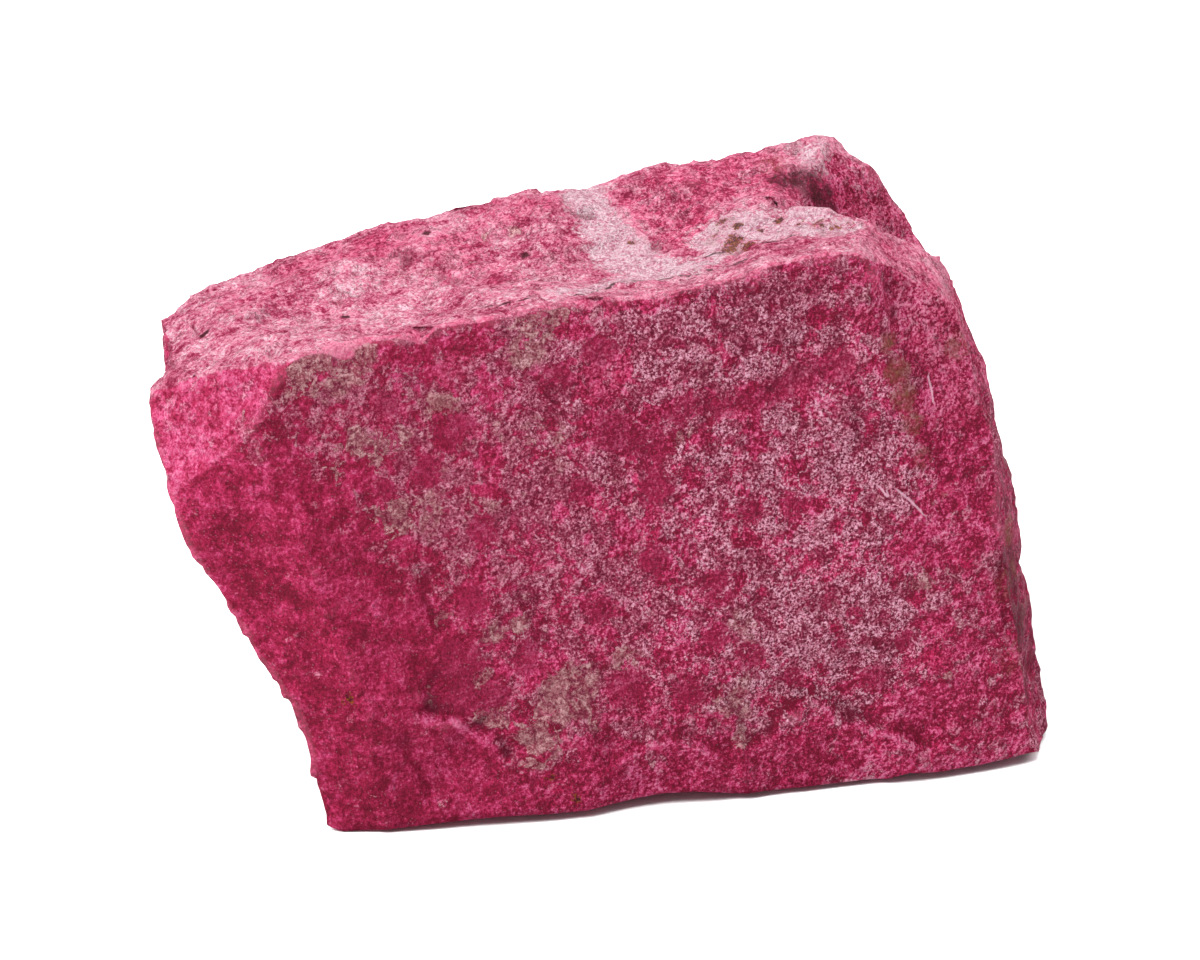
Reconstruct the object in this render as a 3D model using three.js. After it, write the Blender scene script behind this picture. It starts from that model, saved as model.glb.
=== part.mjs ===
// A rough block of pink zoisite, the massive manganese-bearing kind called thulite, broken on every side.
// It is one solid stone, about 90 mm long. Units are millimetres and +Z is up.
// The stone rests on z = 0, its broad front face looks along -Y and its length runs along X.
//
// The block is what is left inside a set of fracture planes, less the bites that have broken out of it:
// wedges, hollows and shell-shaped flake scars. A sheared box of quads is shrunk onto that shape.
// Vertices near an arris, where two fractures meet, are slid onto it, so that it runs along mesh edges.

import * as THREE from "three";
import { ImprovedNoise } from "three/addons/math/ImprovedNoise.js";
import { mergeVertices } from "three/addons/utils/BufferGeometryUtils.js";

// ---- Driving dimensions, in millimetres ----
const FRONT_Y = -21; // broad front face
const BASE_LEFT_X = -30.1; // front corner of the base, at the foot of the undercut left side
const FRONT_LEAN = 0.04; // how far that face leans back, in mm per mm of height
const RIDGE_Z = 53.6; // ridge between the front and the top, at x = 0
const RIDGE_RISE = 0.115; // how fast that ridge climbs towards +X, in mm per mm
const CREST_Y = 8; // crest along the back of the top
const CREST_Z = 55.3; // its height at x = 0
const CREST_RISE = 0.125;
const CREST_LEAN = 0.21; // how fast the slope below it climbs towards the back
const BELLY_Z = 25; // height where the back bulges furthest out
const BELLY_Y = 20;
const LEFT_END_X = -42.9; // upper left end of the block, behind the corner facet

// ---- The fracture planes that bound the block ----
// facing: the way the plane looks; through: a point on it; rough: the height of its relief in mm.
const FRACTURES = [
  { name: "front", facing: [0.012, -1, FRONT_LEAN], through: [0, FRONT_Y, 50], rough: 0.4 },
  { name: "front left", facing: [-0.401, -0.911, -0.093], through: [BASE_LEFT_X, -20.5, 0], rough: 0.35 },
  { name: "corner facet", facing: [-0.68, -0.65, 0.335], through: [-38, FRONT_Y, 41.7], rough: 0.3 },
  { name: "undercut", facing: [-0.9, 0.25, -0.39], through: [BASE_LEFT_X, FRONT_Y, 0], rough: 0.5 },
  { name: "left end", facing: [-0.97, 0.1, -0.2], through: [-45.9, -10, 42.6], rough: 0.5 },
  { name: "top", facing: [-RIDGE_RISE, -0.06, 1], through: [0, FRONT_Y, RIDGE_Z], rough: 0.4 },
  { name: "top left", facing: [-0.24, 0.055, 0.96], through: [-28.9, 9, 48.6], rough: 0.5 },
  { name: "top left end", facing: [-0.46, 0.02, 0.89], through: [-43.3, -12, 44.7], rough: 0.4 },
  { name: "shoulder", facing: [0.587, -0.226, 0.777], through: [22.5, FRONT_Y, 54.3], rough: 0.5 },
  { name: "crest end", facing: [0.77, 0.05, 0.64], through: [27.6, 7, 56.5], rough: 0.6 },
  { name: "right front", facing: [0.1, -0.994, 0.04], through: [31.3, FRONT_Y - 0.9, 3.5], rough: 0.5 },
  { name: "right corner", facing: [0.87, -0.47, 0.16], through: [41.2, -20.4, 1], rough: 0.5 },
  { name: "right", facing: [0.97, 0.1, 0.17], through: [44.4, -14, 2], rough: 0.8 },
  { name: "right shoulder", facing: [0.88, -0.22, 0.42], through: [33.8, -14, 46.2], rough: 0.4 },
  { name: "right toe", facing: [0.07, -0.04, -0.99], through: [32, -20, 0.2], rough: 0.3 },
  { name: "back upper", facing: [-0.04, 0.9, 0.44], through: [0, CREST_Y, CREST_Z], rough: 0.8 },
  { name: "back lower", facing: [0.05, 0.98, -0.15], through: [0, BELLY_Y, BELLY_Z], rough: 0.8 },
  { name: "back left", facing: [-0.35, 0.93, 0.05], through: [-42.4, 5, 45], rough: 0.7 },
  { name: "back right", facing: [0.6, 0.78, 0.15], through: [36, 10, 30], rough: 0.7 },
];

// ---- What has broken out of the block ----
// A bite is the space on the outer side of all its walls. A wall is a plane, or a ball that the bite lies
// inside: a lone ball is a shell-shaped chip, and a ball over a tilted floor is a flake scar.
// The scoops are shell-shaped scars side by side on the slope below the crest.
const SCOOPS = [
  { x: -30, y: -1, across: 12, deep: 0.8 },
  { x: -20, y: -3, across: 13, deep: 1 },
  { x: -9.5, y: -1, across: 12, deep: 0.9 },
  { x: 4, y: -1, across: 18, deep: 1.3 },
];
const BITES = [
  {
    name: "top trough",
    walls: [
      { facing: [-RIDGE_RISE, 0.12, 1], through: [0, FRONT_Y + 1, RIDGE_Z - 0.2], rough: 0.4 },
      { facing: [-CREST_RISE, -CREST_LEAN, 1], through: [0, CREST_Y, CREST_Z + 0.4], rough: 1 },
    ],
  },
  {
    name: "crest hollow",
    walls: [dish({ at: [21.5, -2.5, 55.3], facing: [-0.12, -0.2, 1], across: 7.6, deep: 2 })],
  },
  {
    name: "crest groove",
    walls: [
      { facing: [0.5, -0.72, 0.48], through: [26.5, 3.5, 54.5], rough: 0.5 },
      { facing: [0.45, 0.35, 0.82], through: [27.5, -10.5, 53.3], rough: 0.4 },
    ],
  },
  ...SCOOPS.map(({ x, y, across, deep }, i) => ({
    name: "crest scoop " + i,
    walls: [dish({ at: [x, y, crestRiserZ(x, y)], facing: [-CREST_RISE, -0.35, 1], across, deep })],
  })),
  {
    name: "left step",
    walls: [
      { facing: [-1, 0.05, 0.08], through: [LEFT_END_X, -5, 44], rough: 0.4 },
      { facing: [-0.72, 0.69, 0.1], through: [-45.7, -11.8, 43.2], rough: 0.2 },
    ],
  },
  {
    name: "undercut hollow",
    walls: [dish({ at: [-35.1, -17, 11.5], facing: [-0.92, 0.1, -0.38], across: 18, deep: 2.7 })],
  },
  {
    name: "groove",
    walls: [
      { facing: [0.9, -0.35, 0.17], through: [24.4, FRONT_Y, 49], rough: 0.3 },
      { facing: [0.22, -0.96, 0.16], through: [26, -19.4, 46], rough: 0.3 },
    ],
  },
  {
    name: "toe scar left",
    walls: [dish({ at: [-19, -22.8, 3], facing: [0, -1, 0.05], across: 17, deep: 0.7 })],
  },
  {
    name: "toe scar middle",
    walls: [dish({ at: [3, -22.6, 0], facing: [0, -1, 0], across: 15, deep: 1.2 })],
  },
  {
    name: "toe scar right",
    walls: [dish({ at: [19.5, -22.6, 1], facing: [0.02, -1, 0], across: 20, deep: 0.9 })],
  },
  {
    name: "back step",
    walls: [
      { facing: [0.06, 0.99, 0.05], through: [10, 17.2, 12], rough: 0.5 },
      { facing: [0.22, 0.6, -0.77], through: [5, 18, 19], rough: 0.6 },
    ],
  },
  {
    name: "back flake",
    walls: [
      { centre: [-22, 20, 40], radius: 17 },
      { facing: [-0.12, 0.96, 0.2], through: [-20, 15.6, 34], rough: 0.5 },
    ],
  },
  {
    name: "back chip",
    walls: [dish({ at: [14, 12.5, 49], facing: [0.1, 0.9, 0.42], across: 24, deep: 2 })],
  },
  {
    name: "back foot chip",
    walls: [dish({ at: [-14, 19, 1], facing: [-0.1, 0.8, -0.6], across: 22, deep: 2.6 })],
  },
  {
    name: "right chip",
    walls: [dish({ at: [40, -13.5, 26], facing: [0.9, -0.4, 0.18], across: 20, deep: 1.1 })],
  },
  {
    name: "right back chip",
    walls: [dish({ at: [39, 10, 8], facing: [0.8, 0.6, -0.1], across: 20, deep: 1.9 })],
  },
  {
    name: "left chip",
    walls: [dish({ at: [-33, 7, 5], facing: [-0.86, 0.5, -0.3], across: 19, deep: 1.8 })],
  },
  {
    name: "left back chip",
    walls: [dish({ at: [-42.5, 4, 36], facing: [-0.8, 0.6, -0.1], across: 15, deep: 1.6 })],
  },
];

const BALL_ROUGH = 0.6; // height of the relief on the balls
const BALL_WAVE = 9; // and its longest waves
const PLANE_WAVE = 15; // longest waves of the relief on the planes

// ---- Underside: a slightly tilted, rough face whose low spots are flat feet at z = 0 ----
const UNDERSIDE = { tilt: [0.004, 0.012], rise: -0.3, rough: 0.9, wave: 18 };

// ---- Mesh ----
const GRID_CELLS = [42, 20, 26]; // cells along X, Y and Z
const GRID_SIZE = [78, 40, 56];
const RAY_STEP = 0.04; // share of a ray between the points tried along it
const HALVINGS = 18; // how often the step that leaves the stone is halved
const GRID_SHEAR = -0.27; // the block leans towards -X as it rises
const CORE_HALF_LENGTH = 22; // the rays start on a level line through the middle of the block
const CORE_HEIGHT = 27;

const noise = new ImprovedNoise();

/** Fractal noise from about -1 to 1, with its largest waves "wave" mm long. */
function roughness(p, wave, octaves = 3) {
  let height = 0;
  for (let octave = 0; octave < octaves; octave++) {
    const k = 2 ** octave / wave;
    height += noise.noise(p.x * k + 7.3 * octave, p.y * k + 3.1, p.z * k + 5.7) / 2 ** octave;
  }
  return height;
}

/** A plane as a function that is negative inside the stone and grows outwards, in millimetres. */
function planeHeight({ facing, through, rough }, index) {
  const normal = new THREE.Vector3(...facing).normalize();
  const offset = normal.dot(new THREE.Vector3(...through));
  const shift = new THREE.Vector3(17, 29, 41).multiplyScalar(index + 1);
  return (p) => normal.dot(p) - offset + rough * roughness(p.clone().add(shift), PLANE_WAVE);
}

/** The ball that cuts a dish of the given width and depth into a face, round the point "at" on it. */
function dish({ at, facing, across, deep }) {
  const radius = (across * across) / (8 * deep) + deep / 2;
  const outwards = new THREE.Vector3(...facing).normalize();
  const centre = outwards.multiplyScalar(radius - deep).add(new THREE.Vector3(...at));
  return { centre: centre.toArray(), radius };
}

/** Height of the slope below the crest, where it carries the scoops. */
function crestRiserZ(x, y) {
  return CREST_Z + 0.4 + CREST_RISE * x + CREST_LEAN * (y - CREST_Y);
}

/** A wall of a bite, as a function that grows towards the bite. */
function wallHeight(wall, index) {
  if (wall.centre === undefined) return planeHeight(wall, index);
  const centre = new THREE.Vector3(...wall.centre);
  return (p) => wall.radius - p.distanceTo(centre) + BALL_ROUGH * roughness(p, BALL_WAVE);
}

const planes = FRACTURES.map(planeHeight);
const bites = BITES.map(({ walls }, bite) => walls.map((wall, i) => wallHeight(wall, 40 + 5 * bite + i)));

/** Height of the underside below or above the point p. */
function undersideHeight(p) {
  const { tilt, rise, rough, wave } = UNDERSIDE;
  return rise + tilt[0] * p.x + tilt[1] * p.y + rough * roughness(p, wave);
}

/** How far p lies outside the stone's nearest limit, and which fracture that limit is. */
function limitAt(p) {
  let limit = { height: -p.z, owner: "foot" };
  const consider = (height, owner) => {
    if (height > limit.height) limit = { height, owner };
  };
  consider(undersideHeight(p) - p.z, "underside");
  planes.forEach((plane, i) => consider(plane(p), FRACTURES[i].name));
  bites.forEach((walls, bite) => {
    const heights = walls.map((wall) => wall(p));
    const nearest = Math.min(...heights);
    consider(nearest, BITES[bite].name + heights.indexOf(nearest));
  });
  return limit;
}

/** The point where the ray from the core through grid point g leaves the stone. */
function surfacePoint(g) {
  const startX = THREE.MathUtils.clamp(g.x, -CORE_HALF_LENGTH, CORE_HALF_LENGTH);
  const start = new THREE.Vector3(startX, 0, CORE_HEIGHT);
  const ray = new THREE.Vector3(g.x + GRID_SHEAR * g.z, g.y, g.z + CORE_HEIGHT).sub(start);
  const point = new THREE.Vector3();
  let inside = 0.2;
  let outside = 1.8;
  for (let t = inside; t < outside; t += RAY_STEP) {
    if (limitAt(point.copy(start).addScaledVector(ray, t)).height > 0) {
      outside = t;
      break;
    }
    inside = t;
  }
  for (let step = 0; step < HALVINGS; step++) {
    const middle = (inside + outside) / 2;
    if (limitAt(point.copy(start).addScaledVector(ray, middle)).height > 0) outside = middle;
    else inside = middle;
  }
  point.copy(start).addScaledVector(ray, inside);
  return { point, owner: limitAt(point).owner };
}

/** The box of quads, its shared vertices merged. */
function sheetGrid() {
  const box = new THREE.BoxGeometry(...GRID_SIZE, ...GRID_CELLS);
  box.deleteAttribute("normal");
  box.deleteAttribute("uv");
  return mergeVertices(box);
}

/** Each edge of a triangle mesh once, as a pair of vertex indices. */
function edgesOf(index) {
  const edges = new Map();
  for (let i = 0; i < index.length; i += 3) {
    for (let k = 0; k < 3; k++) {
      const a = index[i + k];
      const b = index[i + ((k + 1) % 3)];
      edges.set(`${Math.min(a, b)},${Math.max(a, b)}`, [Math.min(a, b), Math.max(a, b)]);
    }
  }
  return [...edges.values()];
}

/** Where the owner changes along the edge from a to b: its share of the edge and the point there. */
function arrisOn(a, b, ownerOfA) {
  let low = 0;
  let high = 1;
  let found = null;
  for (let step = 0; step < 12; step++) {
    const share = (low + high) / 2;
    found = surfacePoint(a.clone().lerp(b, share));
    if (found.owner === ownerOfA) low = share;
    else high = share;
  }
  return { share: (low + high) / 2, point: found.point };
}

/** Turns the diagonal of each quad that lies closer to the fracture surface the other way round. */
function turnDiagonals(geometry) {
  const { index, attributes } = geometry;
  const middle = new THREE.Vector3();
  const gap = (i, k) => {
    middle.fromBufferAttribute(attributes.position, i);
    middle.lerp(new THREE.Vector3().fromBufferAttribute(attributes.position, k), 0.5);
    return Math.abs(limitAt(middle).height);
  };
  for (let i = 0; i < index.count; i += 6) {
    const [a, b, d, , c] = index.array.slice(i, i + 5);
    if (gap(a, c) < gap(b, d)) index.array.set([a, b, c, a, c, d], i);
  }
}

function stoneGeometry() {
  const geometry = sheetGrid();
  const position = geometry.attributes.position;
  const gridPoint = (_, i) => new THREE.Vector3().fromBufferAttribute(position, i);
  const grid = Array.from({ length: position.count }, gridPoint);
  const surface = grid.map(surfacePoint);

  const slides = [];
  for (const [a, b] of edgesOf(geometry.index.array)) {
    if (surface[a].owner === surface[b].owner) continue;
    const { share, point } = arrisOn(grid[a], grid[b], surface[a].owner);
    const vertex = share < 0.5 ? a : b;
    slides.push({ vertex, other: vertex === a ? b : a, shift: Math.min(share, 1 - share), point });
  }
  slides.sort((one, two) => one.shift - two.shift);
  const slid = new Set();
  for (const { vertex, other, point } of slides) {
    if (slid.has(vertex) || slid.has(other)) continue;
    surface[vertex].point = point;
    slid.add(vertex);
  }

  surface.forEach(({ point }, i) => position.setXYZ(i, point.x, point.y, Math.max(point.z, 0)));
  turnDiagonals(geometry);
  return geometry;
}

const stone = new THREE.Mesh(
  stoneGeometry(),
  new THREE.MeshStandardMaterial({ color: 0xb04468, roughness: 0.85, metalness: 0 }),
);
stone.name = "stone";

// The origin is under the middle of the stone.
stone.geometry.computeBoundingBox();
const middle = stone.geometry.boundingBox.getCenter(new THREE.Vector3());
stone.position.set(-middle.x, -middle.y, 0);

const block = new THREE.Group();
block.add(stone);

export default block;
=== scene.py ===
"""A rough block of pink zoisite, the massive kind called thulite.

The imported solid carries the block's fracture faces. This script copies it, refines it, gives it
the fine relief of a broken stone and dresses it in thulite: magenta grain, a pale ragged crust,
deep red windows, a white vein, olive patches, rust and dark cracks. Lengths are in millimetres
unless a name ends in _m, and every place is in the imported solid's frame.
"""

import logging
import math
from dataclasses import dataclass, field
from enum import Enum
from functools import reduce

import bmesh
import bpy
import numpy as np
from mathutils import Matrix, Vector, noise

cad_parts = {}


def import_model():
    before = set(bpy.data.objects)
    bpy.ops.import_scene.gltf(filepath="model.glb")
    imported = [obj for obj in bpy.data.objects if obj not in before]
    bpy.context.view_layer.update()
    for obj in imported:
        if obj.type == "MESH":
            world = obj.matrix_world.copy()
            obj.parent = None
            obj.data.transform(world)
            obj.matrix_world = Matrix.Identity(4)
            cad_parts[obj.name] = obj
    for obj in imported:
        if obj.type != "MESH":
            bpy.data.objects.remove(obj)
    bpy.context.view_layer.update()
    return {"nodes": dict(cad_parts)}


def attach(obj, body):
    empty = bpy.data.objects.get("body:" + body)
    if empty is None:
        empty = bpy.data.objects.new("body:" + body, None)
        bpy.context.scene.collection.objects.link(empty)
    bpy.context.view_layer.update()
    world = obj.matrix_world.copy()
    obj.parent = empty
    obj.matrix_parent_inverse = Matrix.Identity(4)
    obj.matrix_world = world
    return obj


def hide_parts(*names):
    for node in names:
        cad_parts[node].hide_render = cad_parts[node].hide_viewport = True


MM = 0.001
Triple = tuple[float, float, float]
Colour = Triple
Stops = tuple[tuple[float, Colour], ...]
Socket = bpy.types.NodeSocket
log = logging.getLogger("zoisite")


# ---- Places on the stone -------------------------------------------------------------------------


class Side(Enum):
    """A side of the stone, as the two axes it is drawn on and the way it looks."""

    FRONT = ((0, 2), (0.0, -1.0, 0.0))
    TOP = ((0, 1), (0.0, 0.0, 1.0))
    RIGHT = ((1, 2), (1.0, 0.0, 0.0))


@dataclass(frozen=True)
class Dab:
    """A soft round patch at (u, v) on a side."""

    u: float
    v: float
    radius: float
    strength: float = 1.0


@dataclass(frozen=True)
class Line:
    """A line through points on a side, such as a crack."""

    points: tuple[tuple[float, float], ...]
    reach: float = 1.0


@dataclass(frozen=True)
class Scarp:
    """A small cliff along a line of points. The ground on the right-hand side of it is lower."""

    points: tuple[tuple[float, float], ...]
    drop: float
    run: float


@dataclass(frozen=True)
class Swell:
    """A gentle push of the surface about a place on the stone."""

    place: Triple
    radius: float
    push: Triple


def smooth_step(low: float, high: float, x: np.ndarray) -> np.ndarray:
    """Eases from 0 at low to 1 at high."""
    t = np.clip((x - low) / (high - low), 0.0, 1.0)
    return t * t * (3.0 - 2.0 * t)


def dabs_of(strength: float, *spots: Triple) -> tuple[Dab, ...]:
    """Dabs of one strength, each spot given as (u, v, radius)."""
    return tuple(Dab(*spot, strength) for spot in spots)


# Pale crust, deep red windows, a clear band between crusts, and olive patches on the front
CRUST = (
    dabs_of(
        1.0, (17.1, 19.2, 2.8), (12.5, 18.8, 2.6), (21.4, 21.7, 2.0), (25.5, 18.6, 2.4),
        (23.0, 14.1, 2.8), (18.4, 16.0, 1.5), (-9.7, 8.2, 1.7), (-14.6, 11.5, 1.2),
        (-10.6, 8.5, 1.6), (-30.6, 49.4, 1.6), (-26.3, 49.5, 1.4),
    )
    + dabs_of(0.95, (-6.6, 13.4, 2.2))
    + dabs_of(
        0.9, (-32.0, 49.0, 1.8), (10.5, 19.1, 1.4), (15.1, 13.9, 1.6), (10.5, 12.6, 1.5),
        (9.5, 10.3, 1.5), (-19.3, 22.1, 1.0), (-18.4, 19.0, 0.9), (-15.5, 15.9, 1.1),
        (-10.7, 5.8, 1.0), (-4.5, 11.0, 1.2), (-9.1, 10.9, 1.4), (-5.7, 11.7, 1.4),
        (-4.2, 9.5, 0.7), (-19.1, 43.8, 1.6), (-31.8, 46.6, 1.4), (-36.9, 40.2, 1.5),
    )
    + dabs_of(0.85, (-23.7, 32.4, 1.8), (13.7, 49.8, 2.8), (13.3, 33.5, 2.5))
    + dabs_of(
        0.8, (-31.6, 47.1, 1.0), (-25.8, 49.5, 1.2), (-26.9, 47.9, 1.2), (-26.4, 39.7, 2.0),
        (-28.4, 37.4, 1.8), (-20.0, 34.1, 1.5), (-18.9, 31.8, 1.5), (-15.2, 33.4, 1.2),
        (-13.1, 31.3, 1.0), (-8.6, 51.6, 2.2), (0.5, 50.2, 2.2), (3.9, 49.5, 2.5),
        (8.3, 51.3, 2.8), (-7.8, 42.4, 1.8), (3.9, 38.5, 1.4), (15.8, 37.0, 1.5), (7.8, 34.3, 2.0),
        (20.3, 34.6, 2.5), (24.3, 35.3, 2.0), (12.9, 15.5, 1.0), (18.3, 25.6, 1.2),
        (21.8, 26.9, 1.4), (19.3, 28.9, 1.2), (27.3, 29.3, 1.2), (27.7, 10.9, 2.0),
        (28.6, 21.4, 1.2), (7.8, 26.9, 1.4), (12.0, 25.0, 1.4), (31.9, 11.0, 0.8),
        (-21.2, 14.3, 1.4), (-14.0, 19.8, 1.1), (-13.6, 10.7, 1.3), (-6.5, 6.5, 0.9),
        (-1.2, 15.8, 1.3), (-2.1, 24.9, 2.2), (0.8, 22.9, 1.8), (3.0, 20.8, 1.4), (10.8, 6.4, 1.2),
        (-15.5, 14.3, 0.9), (-22.7, 40.3, 1.3),
    )
    + dabs_of(
        0.75, (-27.2, 34.8, 1.5), (-17.0, 29.0, 1.2), (12.2, 47.5, 2.0), (14.5, 40.2, 1.6),
        (-8.3, 36.6, 2.8), (-9.9, 31.7, 2.5), (3.8, 35.7, 1.5), (12.5, 30.2, 2.0),
    )
    + dabs_of(
        0.7, (-36.7, 40.2, 1.4), (-22.2, 40.6, 1.4), (-21.8, 38.2, 1.2), (-11.6, 47.2, 1.5),
        (-10.6, 48.1, 1.5), (-7.5, 48.4, 1.5), (13.2, 43.9, 1.5), (1.4, 45.9, 2.2),
        (-4.7, 42.7, 1.2), (1.4, 42.9, 1.5), (9.3, 39.2, 1.0), (10.8, 37.5, 0.8),
        (-2.8, 35.7, 1.4), (-6.0, 30.9, 1.8), (7.5, 30.7, 2.0), (21.3, 38.6, 2.0),
        (23.8, 9.2, 1.4), (24.3, 26.1, 2.0), (16.3, 26.8, 1.6), (-11.8, 20.7, 0.9),
        (-10.0, 23.9, 1.4), (-6.6, 18.1, 1.2), (0.5, 18.0, 1.5), (5.3, 23.7, 1.4),
    )
    + dabs_of(
        0.6, (-28.5, 46.1, 1.0), (-34.9, 40.2, 0.8), (-10.8, 31.6, 0.9), (-11.9, 44.0, 1.0),
        (-12.7, 36.1, 1.4), (19.2, 47.8, 2.0), (6.3, 19.5, 1.4), (-17.7, 25.8, 1.0),
        (-3.6, 28.7, 2.0),
    )
)
WINDOWS = (
    Dab(-20.2, 36.9, 1.4), Dab(-15.0, 30.6, 1.4), Dab(-24.1, 35.5, 0.8), Dab(-17.9, 40.7, 1.8),
    Dab(-24.1, 44.0, 1.2), Dab(-3.4, 47.8, 1.4), Dab(-7.6, 45.1, 1.4), Dab(-2.3, 39.5, 1.8),
    Dab(0.4, 37.9, 1.4), Dab(-5.2, 33.8, 1.2), Dab(1.9, 33.3, 1.6), Dab(8.3, 22.7, 1.6),
    Dab(19.4, 20.1, 1.0), Dab(24.1, 11.5, 1.4), Dab(15.9, 12.4, 1.0), Dab(11.3, 30.2, 1.2),
    Dab(15.8, 30.2, 1.3), Dab(21.9, 18.5, 0.9), Dab(11.3, 15.3, 1.4), Dab(7.8, 17.8, 1.3),
    Dab(20.7, 15.4, 0.7), Dab(-16.1, 23.6, 1.5), Dab(-17.9, 16.8, 2.4), Dab(-14.4, 13.1, 1.8),
    Dab(-10.9, 17.0, 1.2), Dab(-17.3, 13.4, 1.6), Dab(-0.7, 12.7, 1.8), Dab(5.3, 12.2, 1.4),
    Dab(1.8, 26.1, 1.4), Dab(27.1, 15.2, 1.0), Dab(-3.6, 21.5, 1.2),
)
CLEAR_BAND = Line(
    ((1.4, 35.3), (3.2, 39.7), (5.3, 41.4), (12.3, 41.6), (16.2, 43.3), (21.2, 44.2)), 1.0,
)
OLIVE = (
    dabs_of(1.0, (-9.7, 8.2, 2.2), (-10.6, 8.5, 1.8))
    + dabs_of(
        0.9, (-32.0, 49.0, 2.0), (-25.8, 49.5, 1.2), (-14.6, 11.5, 1.4), (-9.1, 10.9, 1.6),
        (-5.7, 11.7, 1.6), (-30.6, 49.4, 1.8), (-26.3, 49.5, 1.6), (-28.6, 46.4, 0.9),
    )
    + dabs_of(0.85, (-6.6, 13.4, 2.6))
    + dabs_of(
        0.8, (-18.8, 43.6, 1.4), (-26.4, 39.7, 2.2), (-8.6, 51.6, 2.4), (9.5, 10.3, 2.0),
        (-21.2, 14.3, 1.6), (-11.8, 20.7, 1.0), (-10.7, 5.8, 1.2), (-4.2, 9.5, 0.8),
        (-13.1, 9.7, 1.2), (-15.5, 14.3, 1.0),
    )
    + dabs_of(
        0.7, (-27.3, 47.8, 1.6), (-23.7, 32.4, 2.0), (-10.6, 48.1, 1.6), (-19.3, 22.1, 1.2),
        (-14.0, 19.8, 1.2), (10.8, 6.4, 1.4), (-31.8, 46.4, 1.4), (-26.5, 40.2, 1.6),
    )
    + dabs_of(
        0.6, (-28.4, 37.4, 1.8), (3.9, 38.5, 1.6), (10.8, 19.0, 1.6), (10.5, 12.6, 1.2),
        (28.6, 21.4, 1.6), (-18.4, 19.0, 1.0), (-15.5, 15.9, 1.2), (-1.2, 15.8, 1.5),
        (-22.7, 40.3, 1.2),
    )
    + dabs_of(0.5, (-20.0, 33.6, 1.6), (31.9, 11.0, 0.8))
    + dabs_of(0.4, (-8.3, 39.1, 2.4), (-15.2, 33.2, 1.4))
)
# Speckled ground, thin mauve haze and bare lower grain on the front
SPECKLED = (
    Dab(8.0, 40.0, 12.0, 0.6), Dab(18.0, 42.0, 9.0, 0.6), Dab(20.0, 31.0, 10.0, 0.9),
    Dab(10.0, 30.0, 9.0, 0.6), Dab(19.0, 17.0, 10.0, 1.0), Dab(9.0, 18.0, 8.0, 0.6),
    Dab(-6.0, 42.0, 9.0, 0.25), Dab(-20.0, 39.0, 10.0, 0.1), Dab(0.0, 24.0, 9.0, 0.25),
)
HAZE = (
    Dab(-28.0, 45.0, 5.0, 0.7), Dab(-25.0, 38.0, 6.0, 0.9), Dab(-20.0, 33.0, 6.0, 0.9),
    Dab(-11.0, 32.0, 7.0, 0.8), Dab(-12.0, 46.0, 6.0, 0.6), Dab(-9.0, 39.0, 6.0, 0.7),
    Dab(-17.0, 22.0, 6.0, 0.5), Dab(-5.0, 24.0, 6.0, 0.6), Dab(4.0, 47.0, 8.0, 0.6),
    Dab(14.0, 47.0, 8.0, 0.7), Dab(4.0, 33.0, 6.0, 0.4), Dab(15.0, 35.0, 6.0, 0.6),
    Dab(22.0, 33.0, 7.0, 0.7), Dab(24.0, 44.0, 5.0, 0.4), Dab(14.0, 17.0, 6.0, 0.8),
    Dab(22.0, 18.0, 6.0, 0.9), Dab(-9.0, 9.0, 5.0, 0.7), Dab(-3.0, 13.0, 5.0, 0.6),
    Dab(10.0, 10.0, 4.0, 0.6), Dab(12.0, 26.0, 6.0, 0.5), Dab(33.0, 22.0, 5.0, 0.4),
)
BARE = (
    Dab(-33.0, 30.0, 9.0), Dab(-28.0, 20.0, 9.0), Dab(-24.0, 6.0, 7.0, 0.9),
    Dab(-14.0, 2.5, 5.0, 0.8), Dab(-3.0, 2.0, 4.5, 0.8), Dab(8.0, 2.0, 4.0, 0.8),
    Dab(18.0, 3.0, 4.0, 0.6), Dab(30.0, 8.0, 4.0, 0.5), Dab(31.0, 27.0, 5.0, 0.5),
    Dab(33.0, 36.0, 5.0, 0.5),
)
# Front facets given a painted highlight, and front facets given painted shade
HIGHLIGHT_FACETS = (
    Dab(29.4, 49.6, 3.4), Dab(31.6, 44.6, 3.0, 0.9), Dab(33.6, 39.0, 2.4, 0.6),
    Dab(31.4, 38.0, 1.6, 0.5), Dab(16.0, 43.0, 1.6, 0.5), Dab(21.0, 44.2, 1.4, 0.5),
    Dab(9.0, 41.0, 1.6, 0.4), Dab(22.4, 49.0, 1.0, 0.6), Dab(-24.4, 44.2, 2.0, 0.6),
    Dab(-17.2, 47.0, 1.6, 0.4), Dab(-3.0, 45.0, 2.4, 0.3),
)
SHADED = (
    Dab(-33.5, 46.4, 2.2, 0.8), Dab(-33.8, 43.4, 2.0, 0.8), Dab(-30.0, 46.5, 2.2, 0.5),
    Dab(17.5, 49.6, 4.0, 0.7), Dab(-18.0, 15.0, 4.0, 0.6), Dab(38.0, 20.0, 4.0, 0.6),
    Dab(39.5, 10.0, 4.0, 0.7), Dab(-9.0, 21.0, 3.0, 0.4), Dab(-36.0, 24.0, 4.0, 0.3),
    Dab(-28.0, 12.0, 3.5, 0.4),
)
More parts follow.
